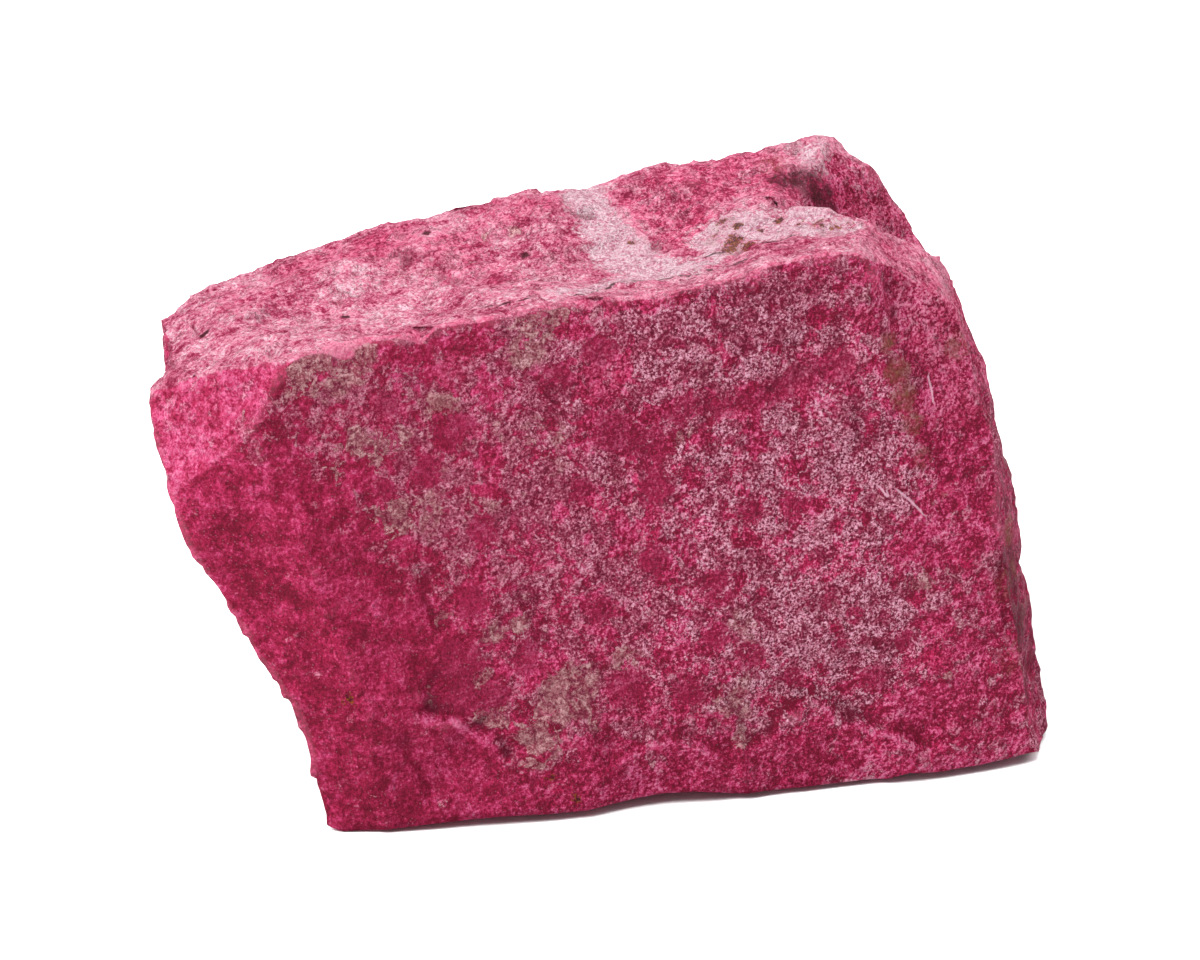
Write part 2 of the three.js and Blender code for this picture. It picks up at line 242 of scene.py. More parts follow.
# Redder and dustier places on the top
RUDDY = (
    Dab(8.0, 3.0, 4.5), Dab(10.0, -3.0, 3.0), Dab(15.0, 5.0, 5.0), Dab(19.0, 1.0, 3.0),
    Dab(-19.0, 4.6, 3.6, 1.0), Dab(-13.5, 1.6, 3.0, 1.0), Dab(-24.0, 6.0, 3.0, 0.9),
    Dab(-28.0, 5.0, 2.6, 0.8), Dab(-8.0, 5.6, 3.0, 0.7), Dab(-3.6, 4.8, 2.0, 0.8),
    Dab(-14.0, -2.6, 2.0, 0.7), Dab(-10.6, -4.8, 2.0, 0.6), Dab(-36.0, 0.0, 3.0, 0.4),
    Dab(-33.0, 3.0, 3.0, 0.4),
)
DUSTY = (
    Dab(-27.7, -8.8, 4.0, 1.0), Dab(-24.0, -7.0, 4.0, 0.8), Dab(-34.0, 4.0, 2.4, 0.5),
    Dab(-18.8, -4.6, 3.4, 0.6), Dab(-33.0, -10.0, 4.0, 0.6), Dab(-7.0, -8.0, 3.6, 0.7),
    Dab(-9.0, -13.0, 4.0, 0.6), Dab(-20.0, -12.0, 5.0, 0.5), Dab(-6.0, 0.0, 3.0, 0.4),
)
# The white vein across the top with its spur and a fleck, as (u, v, half width)
VEIN = (
    (0.5, 8.0, 1.9), (1.0, 3.0, 2.2), (1.5, 0.0, 2.5), (2.0, -3.0, 2.9), (2.6, -6.0, 3.3),
    (4.0, -9.0, 3.0), (7.4, -10.6, 1.8), (9.6, -9.6, 1.2), (13.8, -8.4, 1.0), (19.0, -9.4, 1.3),
    (23.5, -11.0, 1.1),
)
PALE_FLECK = ((22.8, 4.0, 0.8), (23.8, 5.2, 1.2), (24.6, 6.4, 1.0))
VEIN_SPUR = ((3.0, -9.6, 2.0), (-1.0, -12.6, 1.2), (-3.7, -14.6, 1.3), (-6.6, -14.9, 0.9))
SPOTTED_PATCH = (
    Dab(11.5, -5.0, 3.0, 1.0), Dab(15.0, -6.0, 3.6, 1.0), Dab(19.5, -7.5, 3.2, 0.9),
    Dab(23.0, -8.6, 2.4, 0.7),
)
# Rust specks, painted shade in the top's hollows, dark places of the right end, and hair cracks
RUST_TOP = (
    Dab(12.7, -7.5, 0.9), Dab(11.7, -8.4, 0.7), Dab(13.5, -9.4, 0.6), Dab(12.6, -6.4, 0.5),
    Dab(13.6, -4.9, 0.5), Dab(12.4, -3.4, 0.5), Dab(11.3, -5.0, 0.4), Dab(17.5, -6.0, 0.6),
    Dab(20.5, -9.3, 0.6), Dab(22.0, -10.2, 0.4), Dab(23.4, -10.7, 0.5), Dab(3.5, -2.6, 0.5),
    Dab(15.6, -6.4, 0.35), Dab(18.9, -8.0, 0.35),
)
RUST_FRONT = (
    Dab(-28.3, 14.4, 0.5), Dab(-9.0, 4.3, 0.5), Dab(-6.3, 1.4, 0.5), Dab(25.4, 46.0, 0.5, 0.5),
    Dab(26.2, 43.4, 0.6, 0.6), Dab(27.0, 40.6, 0.5, 0.6), Dab(28.2, 38.2, 0.4, 0.5),
)
RUST_RIGHT = (Dab(-19.2, 34.3, 1.0, 0.7), Dab(-15.9, 24.0, 1.6, 0.9), Dab(-16.2, 20.0, 1.2, 0.6))
SHADE_TOP = (
    Dab(21.4, 2.0, 1.3, 1.0), Dab(23.2, 2.0, 1.2, 1.2), Dab(24.8, 2.4, 1.0, 1.1),
    Dab(19.4, 1.8, 1.5, 0.9), Dab(28.4, 6.0, 2.2, 0.35), Dab(30.5, 5.2, 2.2, 0.35),
    Dab(-39.1, -4.2, 0.5, 1.7), Dab(-25.7, -7.5, 0.4, 1.7), Dab(-15.6, 4.5, 0.5, 1.4),
    Dab(-7.1, -2.2, 0.5, 1.2),
)
DARK_RIGHT = (
    Dab(-14.0, 12.0, 7.0, 0.6), Dab(-14.0, 25.0, 6.0, 0.6), Dab(-17.5, 6.6, 2.0, 0.8),
    Dab(-17.5, 20.5, 3.4, 0.9), Dab(-18.0, 14.5, 3.0, 0.9), Dab(-17.0, 26.0, 2.4, 0.6),
    Dab(-12.0, 40.0, 5.0, 0.4),
)
TOP_CRACKS = (
    Line(((-13.6, -16.4), (-11.4, -16.6), (-9.5, -16.6), (-8.1, -17.0)), 0.9),
    Line(((-5.2, -16.8), (-2.2, -14.5), (0.2, -12.3), (2.8, -11.8)), 0.9),
    Line(((3.8, -11.6), (4.8, -11.5), (7.0, -13.0), (8.5, -12.7), (10.0, -12.7)), 0.9),
    Line(((10.8, -12.4), (12.4, -12.9)), 0.6),
    Line(((11.0, -13.3), (13.0, -13.9)), 0.6),
    Line(((14.7, -10.5), (15.9, -10.6), (17.9, -10.5)), 0.8),
    Line(((9.4, -8.8), (11.2, -8.6)), 0.5),
)
# Small cliffs on the front and the top, and wider swells and hollows of the surface
SCARPS = (
    Scarp(((-13.0, 6.4), (-14.0, 7.9), (-15.9, 9.8), (-18.0, 11.3), (-20.9, 12.1)), 0.75, 7.0),
    Scarp(((8.6, 4.6), (5.7, 6.6), (4.0, 7.4), (1.4, 6.9), (-0.6, 6.0), (-2.2, 4.8)), 0.7, 6.0),
    Scarp(
        (
            (28.6, 3.4), (26.6, 5.1), (23.8, 6.3), (21.3, 6.9), (19.1, 9.1), (17.6, 9.7),
            (16.0, 9.0), (14.4, 7.7), (13.2, 5.9), (11.5, 5.4),
        ),
        0.8, 8.0,
    ),
    Scarp(((-21.1, 3.0), (-22.1, 6.5), (-24.3, 9.3)), 0.35, 4.0),
    Scarp(
        ((21.2, 43.4), (16.2, 42.5), (12.3, 40.6), (8.3, 40.2), (5.6, 38.2), (3.4, 35.0)), 0.4,
        9.0,
    ),
    Scarp(((-19.7, 20.6), (-21.2, 24.1), (-21.8, 26.6)), 0.35, 4.0),
    Scarp(((-10.2, 18.2), (-10.7, 21.1), (-12.4, 23.8)), 0.35, 4.0),
    Scarp(
        ((30.5, 31.0), (29.0, 35.5), (27.4, 40.0), (26.2, 45.0), (25.0, 49.5), (24.2, 52.5)), 0.2,
        7.0,
    ),
    Scarp(
        ((40.6, 2.0), (40.4, 7.9), (39.7, 10.8), (37.9, 15.0), (36.4, 19.1), (35.9, 24.4)), 0.4,
        6.0,
    ),
)
TOP_SCARPS = (
    Scarp(
        ((-20.5, 3.5), (-18.7, 1.6), (-17.1, 1.0), (-14.8, -0.4), (-12.8, -3.4), (-11.5, -3.6)),
        0.55, 4.0,
    ),
    Scarp(((-15.8, -2.4), (-14.3, -2.9), (-13.3, -5.9), (-10.1, -5.2), (-7.8, -5.6)), 0.4, 3.5),
    Scarp(((-9.8, -9.0), (-7.0, -9.4), (-4.2, -8.6)), 0.3, 3.0),
    Scarp(((-31.0, 2.0), (-28.7, 1.0), (-26.0, 1.6), (-23.4, 0.8)), 0.35, 3.0),
)
SWELLS = (
    Swell((-41.8, -16.8, 31.0), 6.5, (-0.95, 0.0, 0.0)),
    Swell((-37.3, -17.6, 20.5), 4.5, (0.55, 0.0, 0.0)),
    Swell((-44.4, -12.4, 42.5), 4.0, (-0.45, 0.0, 0.0)),
    Swell((-41.8, -2.0, 45.2), 3.0, (0.5, 0.0, 0.0)),
    Swell((39.4, -13.2, 24.5), 5.5, (0.95, 0.0, 0.0)),
    Swell((36.5, -14.8, 40.0), 5.0, (-1.2, 0.0, 0.0)),
    Swell((35.6, -8.6, 45.6), 4.2, (-0.7, 0.0, -0.5)),
    Swell((42.4, -13.9, 9.2), 3.6, (-0.7, 0.0, 0.0)),
    Swell((2.0, 8.0, 55.3), 3.8, (0.0, 0.0, -1.2)),
    Swell((30.0, 6.2, 53.6), 2.8, (0.75, 0.0, 0.75)),
)
# Worn places of the right front arris, and the gap under the front as (x, height)
WORN = (((26.4, -18.8, 46.0), 5.0), ((27.4, -19.2, 40.0), 5.0), ((28.8, -19.3, 34.0), 3.5))
GAP = (
    (-29.0, 0.1), (-24.0, 0.5), (-20.6, 0.75), (-13.9, 1.05), (-7.5, 0.9), (-2.3, 1.0),
    (2.9, 1.35), (6.3, 1.35), (9.5, 0.8), (14.7, 0.65), (27.0, 0.6), (32.0, 0.5), (38.0, 0.2),
)
FOOT_CORNER = Swell((-29.2, -20.0, 0.0), 2.4, (-0.8, -0.6, 0.0))
# Pale scratches and brown stains
SCRATCHES = (
    Line(((26.0, 31.2), (27.3, 30.0), (28.8, 28.3)), 0.5),
    Line(((24.1, 31.8), (25.0, 30.6)), 0.4),
    Line(((29.6, 41.9), (30.0, 40.4), (30.2, 39.1)), 0.4),
)
STAIN_FRONT = (
    Dab(25.2, 46.0, 1.1, 0.7), Dab(26.0, 43.0, 1.4, 1.0), Dab(26.8, 40.4, 1.4, 1.0),
    Dab(27.8, 37.6, 1.3, 0.9), Dab(28.8, 34.0, 1.2, 0.6), Dab(30.0, 30.0, 1.2, 0.4),
    Dab(33.1, 44.2, 1.6, 0.7), Dab(38.5, 20.0, 2.6, 0.5), Dab(39.0, 12.0, 2.4, 0.4),
    Dab(-18.8, 43.6, 1.0, 0.7), Dab(-17.6, 43.2, 0.8, 0.6),
)
STAIN_TOP = (
    Dab(12.2, -8.6, 1.6, 0.5), Dab(12.8, -3.8, 1.3, 0.4), Dab(11.2, -5.6, 1.4, 0.4),
    Dab(20.4, -9.2, 1.0, 0.4), Dab(23.0, -9.8, 1.4, 0.3), Dab(19.4, 4.6, 1.8, 0.5),
    Dab(-5.0, -10.0, 2.4, 0.2),
)


# ---- Reading the stone's surface -----------------------------------------------------------------

FAR = 99.0
OUTSIDE = -9.0


@dataclass
class Surface:
    """The vertices of the stone's mesh as arrays, in millimetres.

    Args:
        mesh: The mesh that is read and written.
    """

    mesh: bpy.types.Mesh
    points: np.ndarray = field(init=False)
    normals: np.ndarray = field(init=False)

    def __post_init__(self) -> None:
        """Reads the mesh."""
        self.read()

    def read(self) -> None:
        """Takes the places and normals of the vertices from the mesh."""
        count = len(self.mesh.vertices)
        flat = np.empty(count * 3)
        self.mesh.vertices.foreach_get("co", flat)
        self.points = flat.reshape(-1, 3) / MM
        flat = np.empty(count * 3)
        self.mesh.vertices.foreach_get("normal", flat)
        self.normals = flat.reshape(-1, 3).copy()

    def write(self) -> None:
        """Puts the points back into the mesh."""
        self.mesh.vertices.foreach_set("co", (self.points * MM).ravel())
        self.mesh.update()

    def store(self, name: str, values: np.ndarray) -> None:
        """Keeps one value per vertex as an attribute that a material can read."""
        layer = self.mesh.attributes.new(name, "FLOAT", "POINT")
        layer.data.foreach_set("value", np.ascontiguousarray(values, dtype=np.float32))

    def facing(self, direction: Triple, low: float = 0.25, high: float = 0.55) -> np.ndarray:
        """How far each vertex looks along a direction, eased from 0 to 1."""
        way = np.array(direction) / np.linalg.norm(direction)
        return smooth_step(low, high, self.normals @ way)

    def on(self, side: Side) -> tuple[np.ndarray, np.ndarray]:
        """The two drawing coordinates of each vertex, and how far it belongs to the side."""
        axes, way = side.value
        return self.points[:, axes], self.facing(way)

    def dabs(self, side: Side, dabs: tuple[Dab, ...]) -> np.ndarray:
        """The strongest dab at each vertex.

        Args:
            side: The side that they are drawn on.
            dabs: The dabs.

        Returns:
            One value per vertex, 0 where no dab reaches.
        """
        uv, share = self.on(side)
        result = np.zeros(len(uv))
        for dab in dabs:
            away = np.hypot(uv[:, 0] - dab.u, uv[:, 1] - dab.v) / dab.radius
            result = np.maximum(result, dab.strength * (1.0 - smooth_step(0.55, 1.6, away)))
        return result * share

    def band(self, side: Side, spine: tuple[Triple, ...]) -> np.ndarray:
        """Signed distance into a band whose spine is given as (u, v, half width).

        Args:
            side: The side that it is drawn on.
            spine: The points of the spine.

        Returns:
            One distance per vertex, positive inside the band.
        """
        uv, share = self.on(side)
        result = np.full(len(uv), OUTSIDE)
        for (u0, v0, w0), (u1, v1, w1) in zip(spine, spine[1:]):
            along = np.array([u1 - u0, v1 - v0])
            t = np.clip(((uv - (u0, v0)) @ along) / (along @ along), 0.0, 1.0)
            gap = np.hypot(uv[:, 0] - u0 - along[0] * t, uv[:, 1] - v0 - along[1] * t)
            result = np.maximum(result, w0 + (w1 - w0) * t - gap)
        return np.where(share > 0.02, result, OUTSIDE)

    def beside(self, side: Side, line: Line) -> tuple[np.ndarray, np.ndarray]:
        """Where each vertex lies beside a line.

        Args:
            side: The side that the line is drawn on.
            line: The line.

        Returns:
            Signed distance, positive on the right of the line's way, and a share that fades
            past its ends.
        """
        uv, share = self.on(side)
        nearest = np.full(len(uv), FAR)
        signed = np.full(len(uv), FAR)
        past = np.zeros(len(uv))
        last = len(line.points) - 2
        for i, (start, end) in enumerate(zip(line.points, line.points[1:])):
            along = np.array(end) - np.array(start)
            length = np.linalg.norm(along)
            along = along / length
            offset = uv - np.array(start)
            t = offset @ along
            clipped = np.clip(t, 0.0, length)
            across = offset[:, 0] * along[1] - offset[:, 1] * along[0]
            gap = np.hypot(across, t - clipped)
            closer = gap < nearest
            nearest = np.where(closer, gap, nearest)
            signed = np.where(closer, np.copysign(gap, across), signed)
            beyond = np.zeros(len(uv))
            if i == 0:
                beyond = np.maximum(beyond, -t)
            if i == last:
                beyond = np.maximum(beyond, t - length)
            past = np.where(closer, beyond, past)
        return signed, share * (1.0 - smooth_step(0.0, line.reach, past))

    def fractal(self, wave: float, octaves: int, seed: int) -> np.ndarray:
        """Fractal noise at each vertex, about -1 to 1, its longest waves "wave" long.

        Args:
            wave: The length of the longest waves.
            octaves: How many sizes of wave.
            seed: Picks the pattern.

        Returns:
            One value per vertex.
        """
        shift = Vector((seed * 13.7, seed * 5.3, seed * 9.1))
        return np.array(
            [noise.fractal(Vector(p) / wave + shift, 1.0, 2.0, octaves) for p in self.points]
        )

    def facets(self, cell: float, slope: float, seed: int) -> np.ndarray:
        """Height of small broken facets, each tilted its own way, "cell" across.

        Args:
            cell: How wide a facet is.
            slope: How steep the facets are.
            seed: Picks the pattern.

        Returns:
            One height per vertex.
        """
        shift = Vector((seed * 7.9, seed * 3.1, seed * 11.3))
        heights = np.empty(len(self.points))
        for i, p in enumerate(self.points):
            place = Vector(p) / cell + shift
            centre = noise.voronoi(place)[1][0]
            tilt = noise.noise_vector(centre * 3.7)
            heights[i] = (place - centre).dot(tilt)
        return heights * cell * slope

    def swell(self, swell: Swell) -> np.ndarray:
        """The push of a swell at each vertex."""
        away = np.linalg.norm(self.points - np.array(swell.place), axis=1) / swell.radius
        return np.exp(-away * away)[:, None] * np.array(swell.push)

    def curvature(self, rounds: int) -> np.ndarray:
        """Positive on convex edges and negative in hollows, spread over a few vertices.

        Args:
            rounds: How often the surface is evened out to compare it with.

        Returns:
            One height per vertex over the evened surface.
        """
        edges = np.empty(len(self.mesh.edges) * 2, dtype=np.int32)
        self.mesh.edges.foreach_get("vertices", edges)
        edges = edges.reshape(-1, 2)
        degree = np.bincount(edges.ravel(), minlength=len(self.points)).astype(float)

        def spread(values: np.ndarray) -> np.ndarray:
            """The mean over the neighbours.

            Args:
                values: One value or place per vertex.

            Returns:
                The same for the neighbours.
            """
            total = np.zeros_like(values)
            np.add.at(total, edges[:, 0], values[edges[:, 1]])
            np.add.at(total, edges[:, 1], values[edges[:, 0]])
            return total / (degree[:, None] if values.ndim == 2 else degree)

        smooth = self.points.copy()
        for _ in range(rounds):
            smooth = spread(smooth)
        bend = ((self.points - smooth) * self.normals).sum(axis=1)
        for _ in range(2):
            bend = 0.5 * bend + 0.5 * spread(bend)
        return bend


# ---- Building materials --------------------------------------------------------------------------


@dataclass(frozen=True)
class Waves:
    """The waves of a noise: how many to a millimetre, its octaves, its roughness and its bend."""

    scale: float
    detail: float
    rough: float = 0.5
    bend: float = 0.0


@dataclass
class Nodes:
    """Adds nodes to a material, and joins them.

    Args:
        tree: The node tree that is filled.
    """

    tree: bpy.types.NodeTree

    def add(self, kind: str, **values: object) -> bpy.types.Node:
        """A new node with the given properties.

        Args:
            kind: The node's type.
            **values: Its properties.

        Returns:
            The node.
        """
        node = self.tree.nodes.new(kind)
        for name, value in values.items():
            setattr(node, name, value)
        return node

    def plug(self, socket: Socket, value: object) -> None:
        """Joins an output to the socket, or sets the socket to a constant.

        Args:
            socket: The input.
            value: An output, a number, a vector or a colour.
        """
        if isinstance(value, Socket):
            self.tree.links.new(value, socket)
        elif isinstance(value, tuple) and len(value) == 3 and socket.type == "RGBA":
            socket.default_value = (*value, 1.0)
        else:
            socket.default_value = value

    def math(self, operation: str, *values: object) -> Socket:
        """One sum of one, two or three values.

        Args:
            operation: What is done with them.
            *values: Outputs or numbers.

        Returns:
            The result.
        """
        node = self.add("ShaderNodeMath", operation=operation)
        for socket, value in zip(node.inputs, values):
            self.plug(socket, value)
        return node.outputs[0]

    def vector(self, operation: str, *values: object) -> Socket:
        """One sum of two or three vectors.

        Args:
            operation: What is done with them.
            *values: Outputs or vectors.

        Returns:
            The result.
        """
        node = self.add("ShaderNodeVectorMath", operation=operation)
        for socket, value in zip(node.inputs, values):
            self.plug(socket, value)
        return node.outputs[0]

    def plus(self, *values: object) -> Socket:
        """Adds values."""
        return reduce(lambda a, b: self.math("ADD", a, b), values)

    def times(self, *values: object) -> Socket:
        """Multiplies values."""
        return reduce(lambda a, b: self.math("MULTIPLY", a, b), values)

    def sum(self, *terms: tuple[object, float]) -> Socket:
        """Adds values, each times its own weight.

        Args:
            *terms: Pairs of a value and a weight.

        Returns:
            The total.
        """
        total = self.math("MULTIPLY", *terms[0])
        for value, weight in terms[1:]:
            total = self.math("MULTIPLY_ADD", value, weight, total)
        return total

    def swings(self, *terms: tuple[object, float]) -> Socket:
        """Adds noise values as swings about zero, each times its own weight.

        Args:
            *terms: Pairs of a noise value, which lies about 0.5, and a weight.

        Returns:
            The total.
        """
        total = -0.5 * sum(weight for _, weight in terms)
        for value, weight in terms:
            total = self.math("MULTIPLY_ADD", value, weight, total)
        return total

    def step(self, low: float, high: float, value: object) -> Socket:
        """Eases from 0 at low to 1 at high.

        Args:
            low: Where it starts.
            high: Where it ends; below low it eases the other way.
            value: The value that is read.

        Returns:
            The eased value.
        """
        node = self.add("ShaderNodeMapRange", interpolation_type="SMOOTHSTEP")
        for name, setting in (("Value", value), ("From Min", low), ("From Max", high)):
            self.plug(node.inputs[name], setting)
        return node.outputs[0]

    def ridge(self, value: object, width: float) -> Socket:
        """Thin winding lines where a noise value passes its middle."""
        off_middle = self.math("ABSOLUTE", self.math("SUBTRACT", value, 0.5))
        return self.step(width, 0.3 * width, off_middle)

    def mix(self, share: object, a: object, b: object) -> Socket:
        """A blend of two colours.

        Args:
            share: How much of the second.
            a: The first colour.
            b: The second.

        Returns:
            The blend.
        """
        node = self.add("ShaderNodeMix", data_type="RGBA")
        for i, value in ((0, share), (6, a), (7, b)):
            self.plug(node.inputs[i], value)
        return node.outputs[2]

    def ramp(self, value: object, stops: Stops) -> Socket:
        """Picks a colour between stops by a value.

        Args:
            value: The value.
            stops: Values and their colours, from low to high.

        Returns:
            The colour.
        """
        node = self.add("ShaderNodeValToRGB")
        self.plug(node.inputs[0], value)
        marks = node.color_ramp.elements
        while len(marks) < len(stops):
            marks.new(1.0)
        for mark, (place, colour) in zip(marks, stops):
            mark.position = place
            mark.color = (*colour, 1.0)
        return node.outputs[0]

    def fractal(self, place: object, waves: Waves) -> Socket:
        """Fractal noise about 0.5.

        Args:
            place: Where it is read.
            waves: Its waves.

        Returns:
            The noise value.
        """
        node = self.add("ShaderNodeTexNoise")
        self.plug(node.inputs["Vector"], place)
        node.inputs["Scale"].default_value = waves.scale
        node.inputs["Detail"].default_value = waves.detail
        node.inputs["Roughness"].default_value = waves.rough
        node.inputs["Distortion"].default_value = waves.bend
        return node.outputs[0]

    def cells(self, place: object, scale: float, feature: str = "F1") -> Socket:
        """Distance in Voronoi cells, as the crystals and scales of the stone.

        Args:
            place: Where they are read.
            scale: How many to a millimetre.
            feature: Distance to what.

        Returns:
            The distance.
        """
        node = self.add("ShaderNodeTexVoronoi", feature=feature)
        self.plug(node.inputs["Vector"], place)
        node.inputs["Scale"].default_value = scale
        return node.outputs["Distance"]

    def tones(self, cells: Socket) -> tuple[Socket, ...]:
        """Three values that differ from cell to cell.

        Args:
            cells: The distance output of the cells.

        Returns:
            The three values.
        """
        node = self.add("ShaderNodeSeparateColor")
        self.plug(node.inputs[0], cells.node.outputs["Color"])
        return tuple(node.outputs)

    def pushed(self, place: object, scale: float, amount: float) -> Socket:
        """The place pushed about by noise, so that outlines come out ragged.

        Args:
            place: The place.
            scale: How many waves to a millimetre.
            amount: How far it is pushed.

        Returns:
            The pushed place.
        """
        sway = self.fractal(place, Waves(scale, 3.0, 0.6)).node.outputs["Color"]
        centred = self.vector("SUBTRACT", sway, (0.5, 0.5, 0.5))
        return self.vector("MULTIPLY_ADD", centred, (amount, amount, amount), place)

    def painted(self, name: str) -> Socket:
        """A value painted on the stone's vertices."""
        return self.add("ShaderNodeAttribute", attribute_name=name).outputs["Fac"]

    def frayed(self, name: str, *terms: tuple[object, float]) -> Socket:
        """A painted value with the swings of noises added, so that its edge frays."""
        return self.plus(self.painted(name), self.swings(*terms))


@dataclass(frozen=True)
class ThuliteFinish:
    """The colours of the stone, as linear red, green and blue, and how it shines."""

    grain: Stops = (
        (0.34, (0.105, 0.006, 0.018)), (0.43, (0.165, 0.008, 0.028)),
        (0.5, (0.23, 0.013, 0.046)), (0.57, (0.315, 0.026, 0.084)),
        (0.65, (0.41, 0.066, 0.155)), (0.76, (0.46, 0.135, 0.225)),
    )
    upper: Stops = (
        (0.32, (0.13, 0.009, 0.028)), (0.42, (0.225, 0.028, 0.066)),
        (0.5, (0.31, 0.08, 0.132)), (0.58, (0.365, 0.125, 0.178)),
        (0.66, (0.4, 0.185, 0.238)), (0.76, (0.43, 0.275, 0.32)),
    )
    crust: Stops = (
        (0.32, (0.065, 0.006, 0.016)), (0.42, (0.12, 0.011, 0.028)),
        (0.5, (0.195, 0.026, 0.058)), (0.59, (0.295, 0.086, 0.135)),
        (0.7, (0.46, 0.22, 0.285)),
    )
    veil: Stops = (
        (0.34, (0.08, 0.007, 0.019)), (0.43, (0.14, 0.015, 0.036)),
        (0.5, (0.205, 0.037, 0.068)), (0.57, (0.28, 0.078, 0.12)),
        (0.68, (0.4, 0.175, 0.23)),
    )
    olive: Stops = (
        (0.32, (0.105, 0.013, 0.028)), (0.42, (0.15, 0.033, 0.048)),
        (0.5, (0.195, 0.068, 0.08)), (0.59, (0.26, 0.118, 0.125)),
        (0.7, (0.39, 0.225, 0.23)),
    )
    vein: Stops = (
        (0.34, (0.23, 0.07, 0.105)), (0.43, (0.31, 0.155, 0.2)),
        (0.52, (0.36, 0.23, 0.265)), (0.64, (0.41, 0.31, 0.34)),
    )
    glow_and_highlight: Stops = (
        (0.4, (0.24, 0.015, 0.048)), (0.52, (0.36, 0.038, 0.092)),
        (0.64, (0.44, 0.095, 0.175)), (0.8, (0.52, 0.18, 0.26)),
    )
    deep: Stops = ((0.40, (0.115, 0.0085, 0.026)), (0.60, (0.190, 0.0110, 0.036)))
    hot: Colour = (0.38, 0.014, 0.068)
    white: Colour = (0.52, 0.29, 0.37)
    blush: Colour = (0.50, 0.16, 0.23)
    # Also laid as painted shadow and painted shade
    wine: Colour = (0.085, 0.010, 0.022)
    brown: Colour = (0.135, 0.042, 0.022)
    rust: Colour = (0.160, 0.042, 0.007)
    black_and_shade: Colour = (0.022, 0.007, 0.007)
    ior: float = 1.5
    specular: float = 0.03
    roughness: tuple[float, float] = (0.55, 0.35)
    bump: float = 0.8

    def material(self) -> bpy.types.Material:
        """Builds the stone's material.

        Returns:
            A material that reads the painted attributes and Object coordinates.
        """
        material = bpy.data.materials.new("thulite")
        material.use_nodes = True
        material.node_tree.nodes.clear()
        n = Nodes(material.node_tree)
        layers = ThuliteLayers(n, self, StoneNoise(n))
        shader = n.add("ShaderNodeBsdfPrincipled")
        shader.inputs["IOR"].default_value = self.ior
        shader.inputs["Specular IOR Level"].default_value = self.specular
        n.plug(shader.inputs["Base Color"], layers.lay())
        n.plug(shader.inputs["Roughness"], layers.roughness())
        n.plug(shader.inputs["Normal"], layers.relief())
        output = n.add("ShaderNodeOutputMaterial")
        n.plug(output.inputs["Surface"], shader.outputs[0])
        return material


@dataclass
class StoneNoise:
    """The noises that the layers of the finish share, in millimetres on the stone.

    Args:
        n: Where the nodes are added.
    """

    n: Nodes
    lobe_waves: Waves = Waves(0.42, 7.0, 0.62)
    ragged_waves: Waves = Waves(1.25, 6.0, 0.68)
    grain_waves: Waves = Waves(1.3, 4.0, 0.7)
    crystal_scale: float = 2.2
    scale_scale: float = 0.62
    sugar_scale: float = 4.4
    lit_from: Triple = (-0.14, -0.08, 0.14)

    def __post_init__(self) -> None:
        """Adds the noises."""
        n = self.n
        place = n.add("ShaderNodeTexCoord").outputs["Object"]
        scaled = n.add("ShaderNodeVectorMath", operation="SCALE")
        n.plug(scaled.inputs[0], place)
        scaled.inputs["Scale"].default_value = 1.0 / MM
        self.point = scaled.outputs[0]
        self.warped = n.pushed(n.pushed(self.point, 0.5, 3.0), 2.6, 0.45)
        self.lobes = n.fractal(self.warped, self.lobe_waves)
        self.ragged = n.fractal(self.warped, self.ragged_waves)
        self.fine = n.fractal(self.point, Waves(3.8, 1.5, 0.85, 0.4))
        self.grainy = n.fractal(self.point, self.grain_waves)
        self.patches = n.fractal(self.warped, Waves(0.62, 4.0, 0.55))
        self.curl = n.fractal(self.warped, Waves(2.3, 3.0, 0.6))
        self.mottle = n.fractal(self.point, Waves(0.17, 4.0, 0.6))
        self.crystal = n.cells(self.warped, self.crystal_scale)
        self.crystal_tone = n.tones(self.crystal)
        self.scale_tone = n.tones(n.cells(self.warped, self.scale_scale))
        self.seam = n.cells(self.warped, self.scale_scale, "DISTANCE_TO_EDGE")
        self.sugar = n.cells(self.point, self.sugar_scale)
        self.sugar_tone = n.tones(self.sugar)
        # Painted light and shade of grains standing a little proud: lighter up and left, darker
        # down and right
        aside = n.fractal(n.vector("ADD", self.point, self.lit_from), self.grain_waves)
        self.emboss = n.math("SUBTRACT", self.grainy, aside)


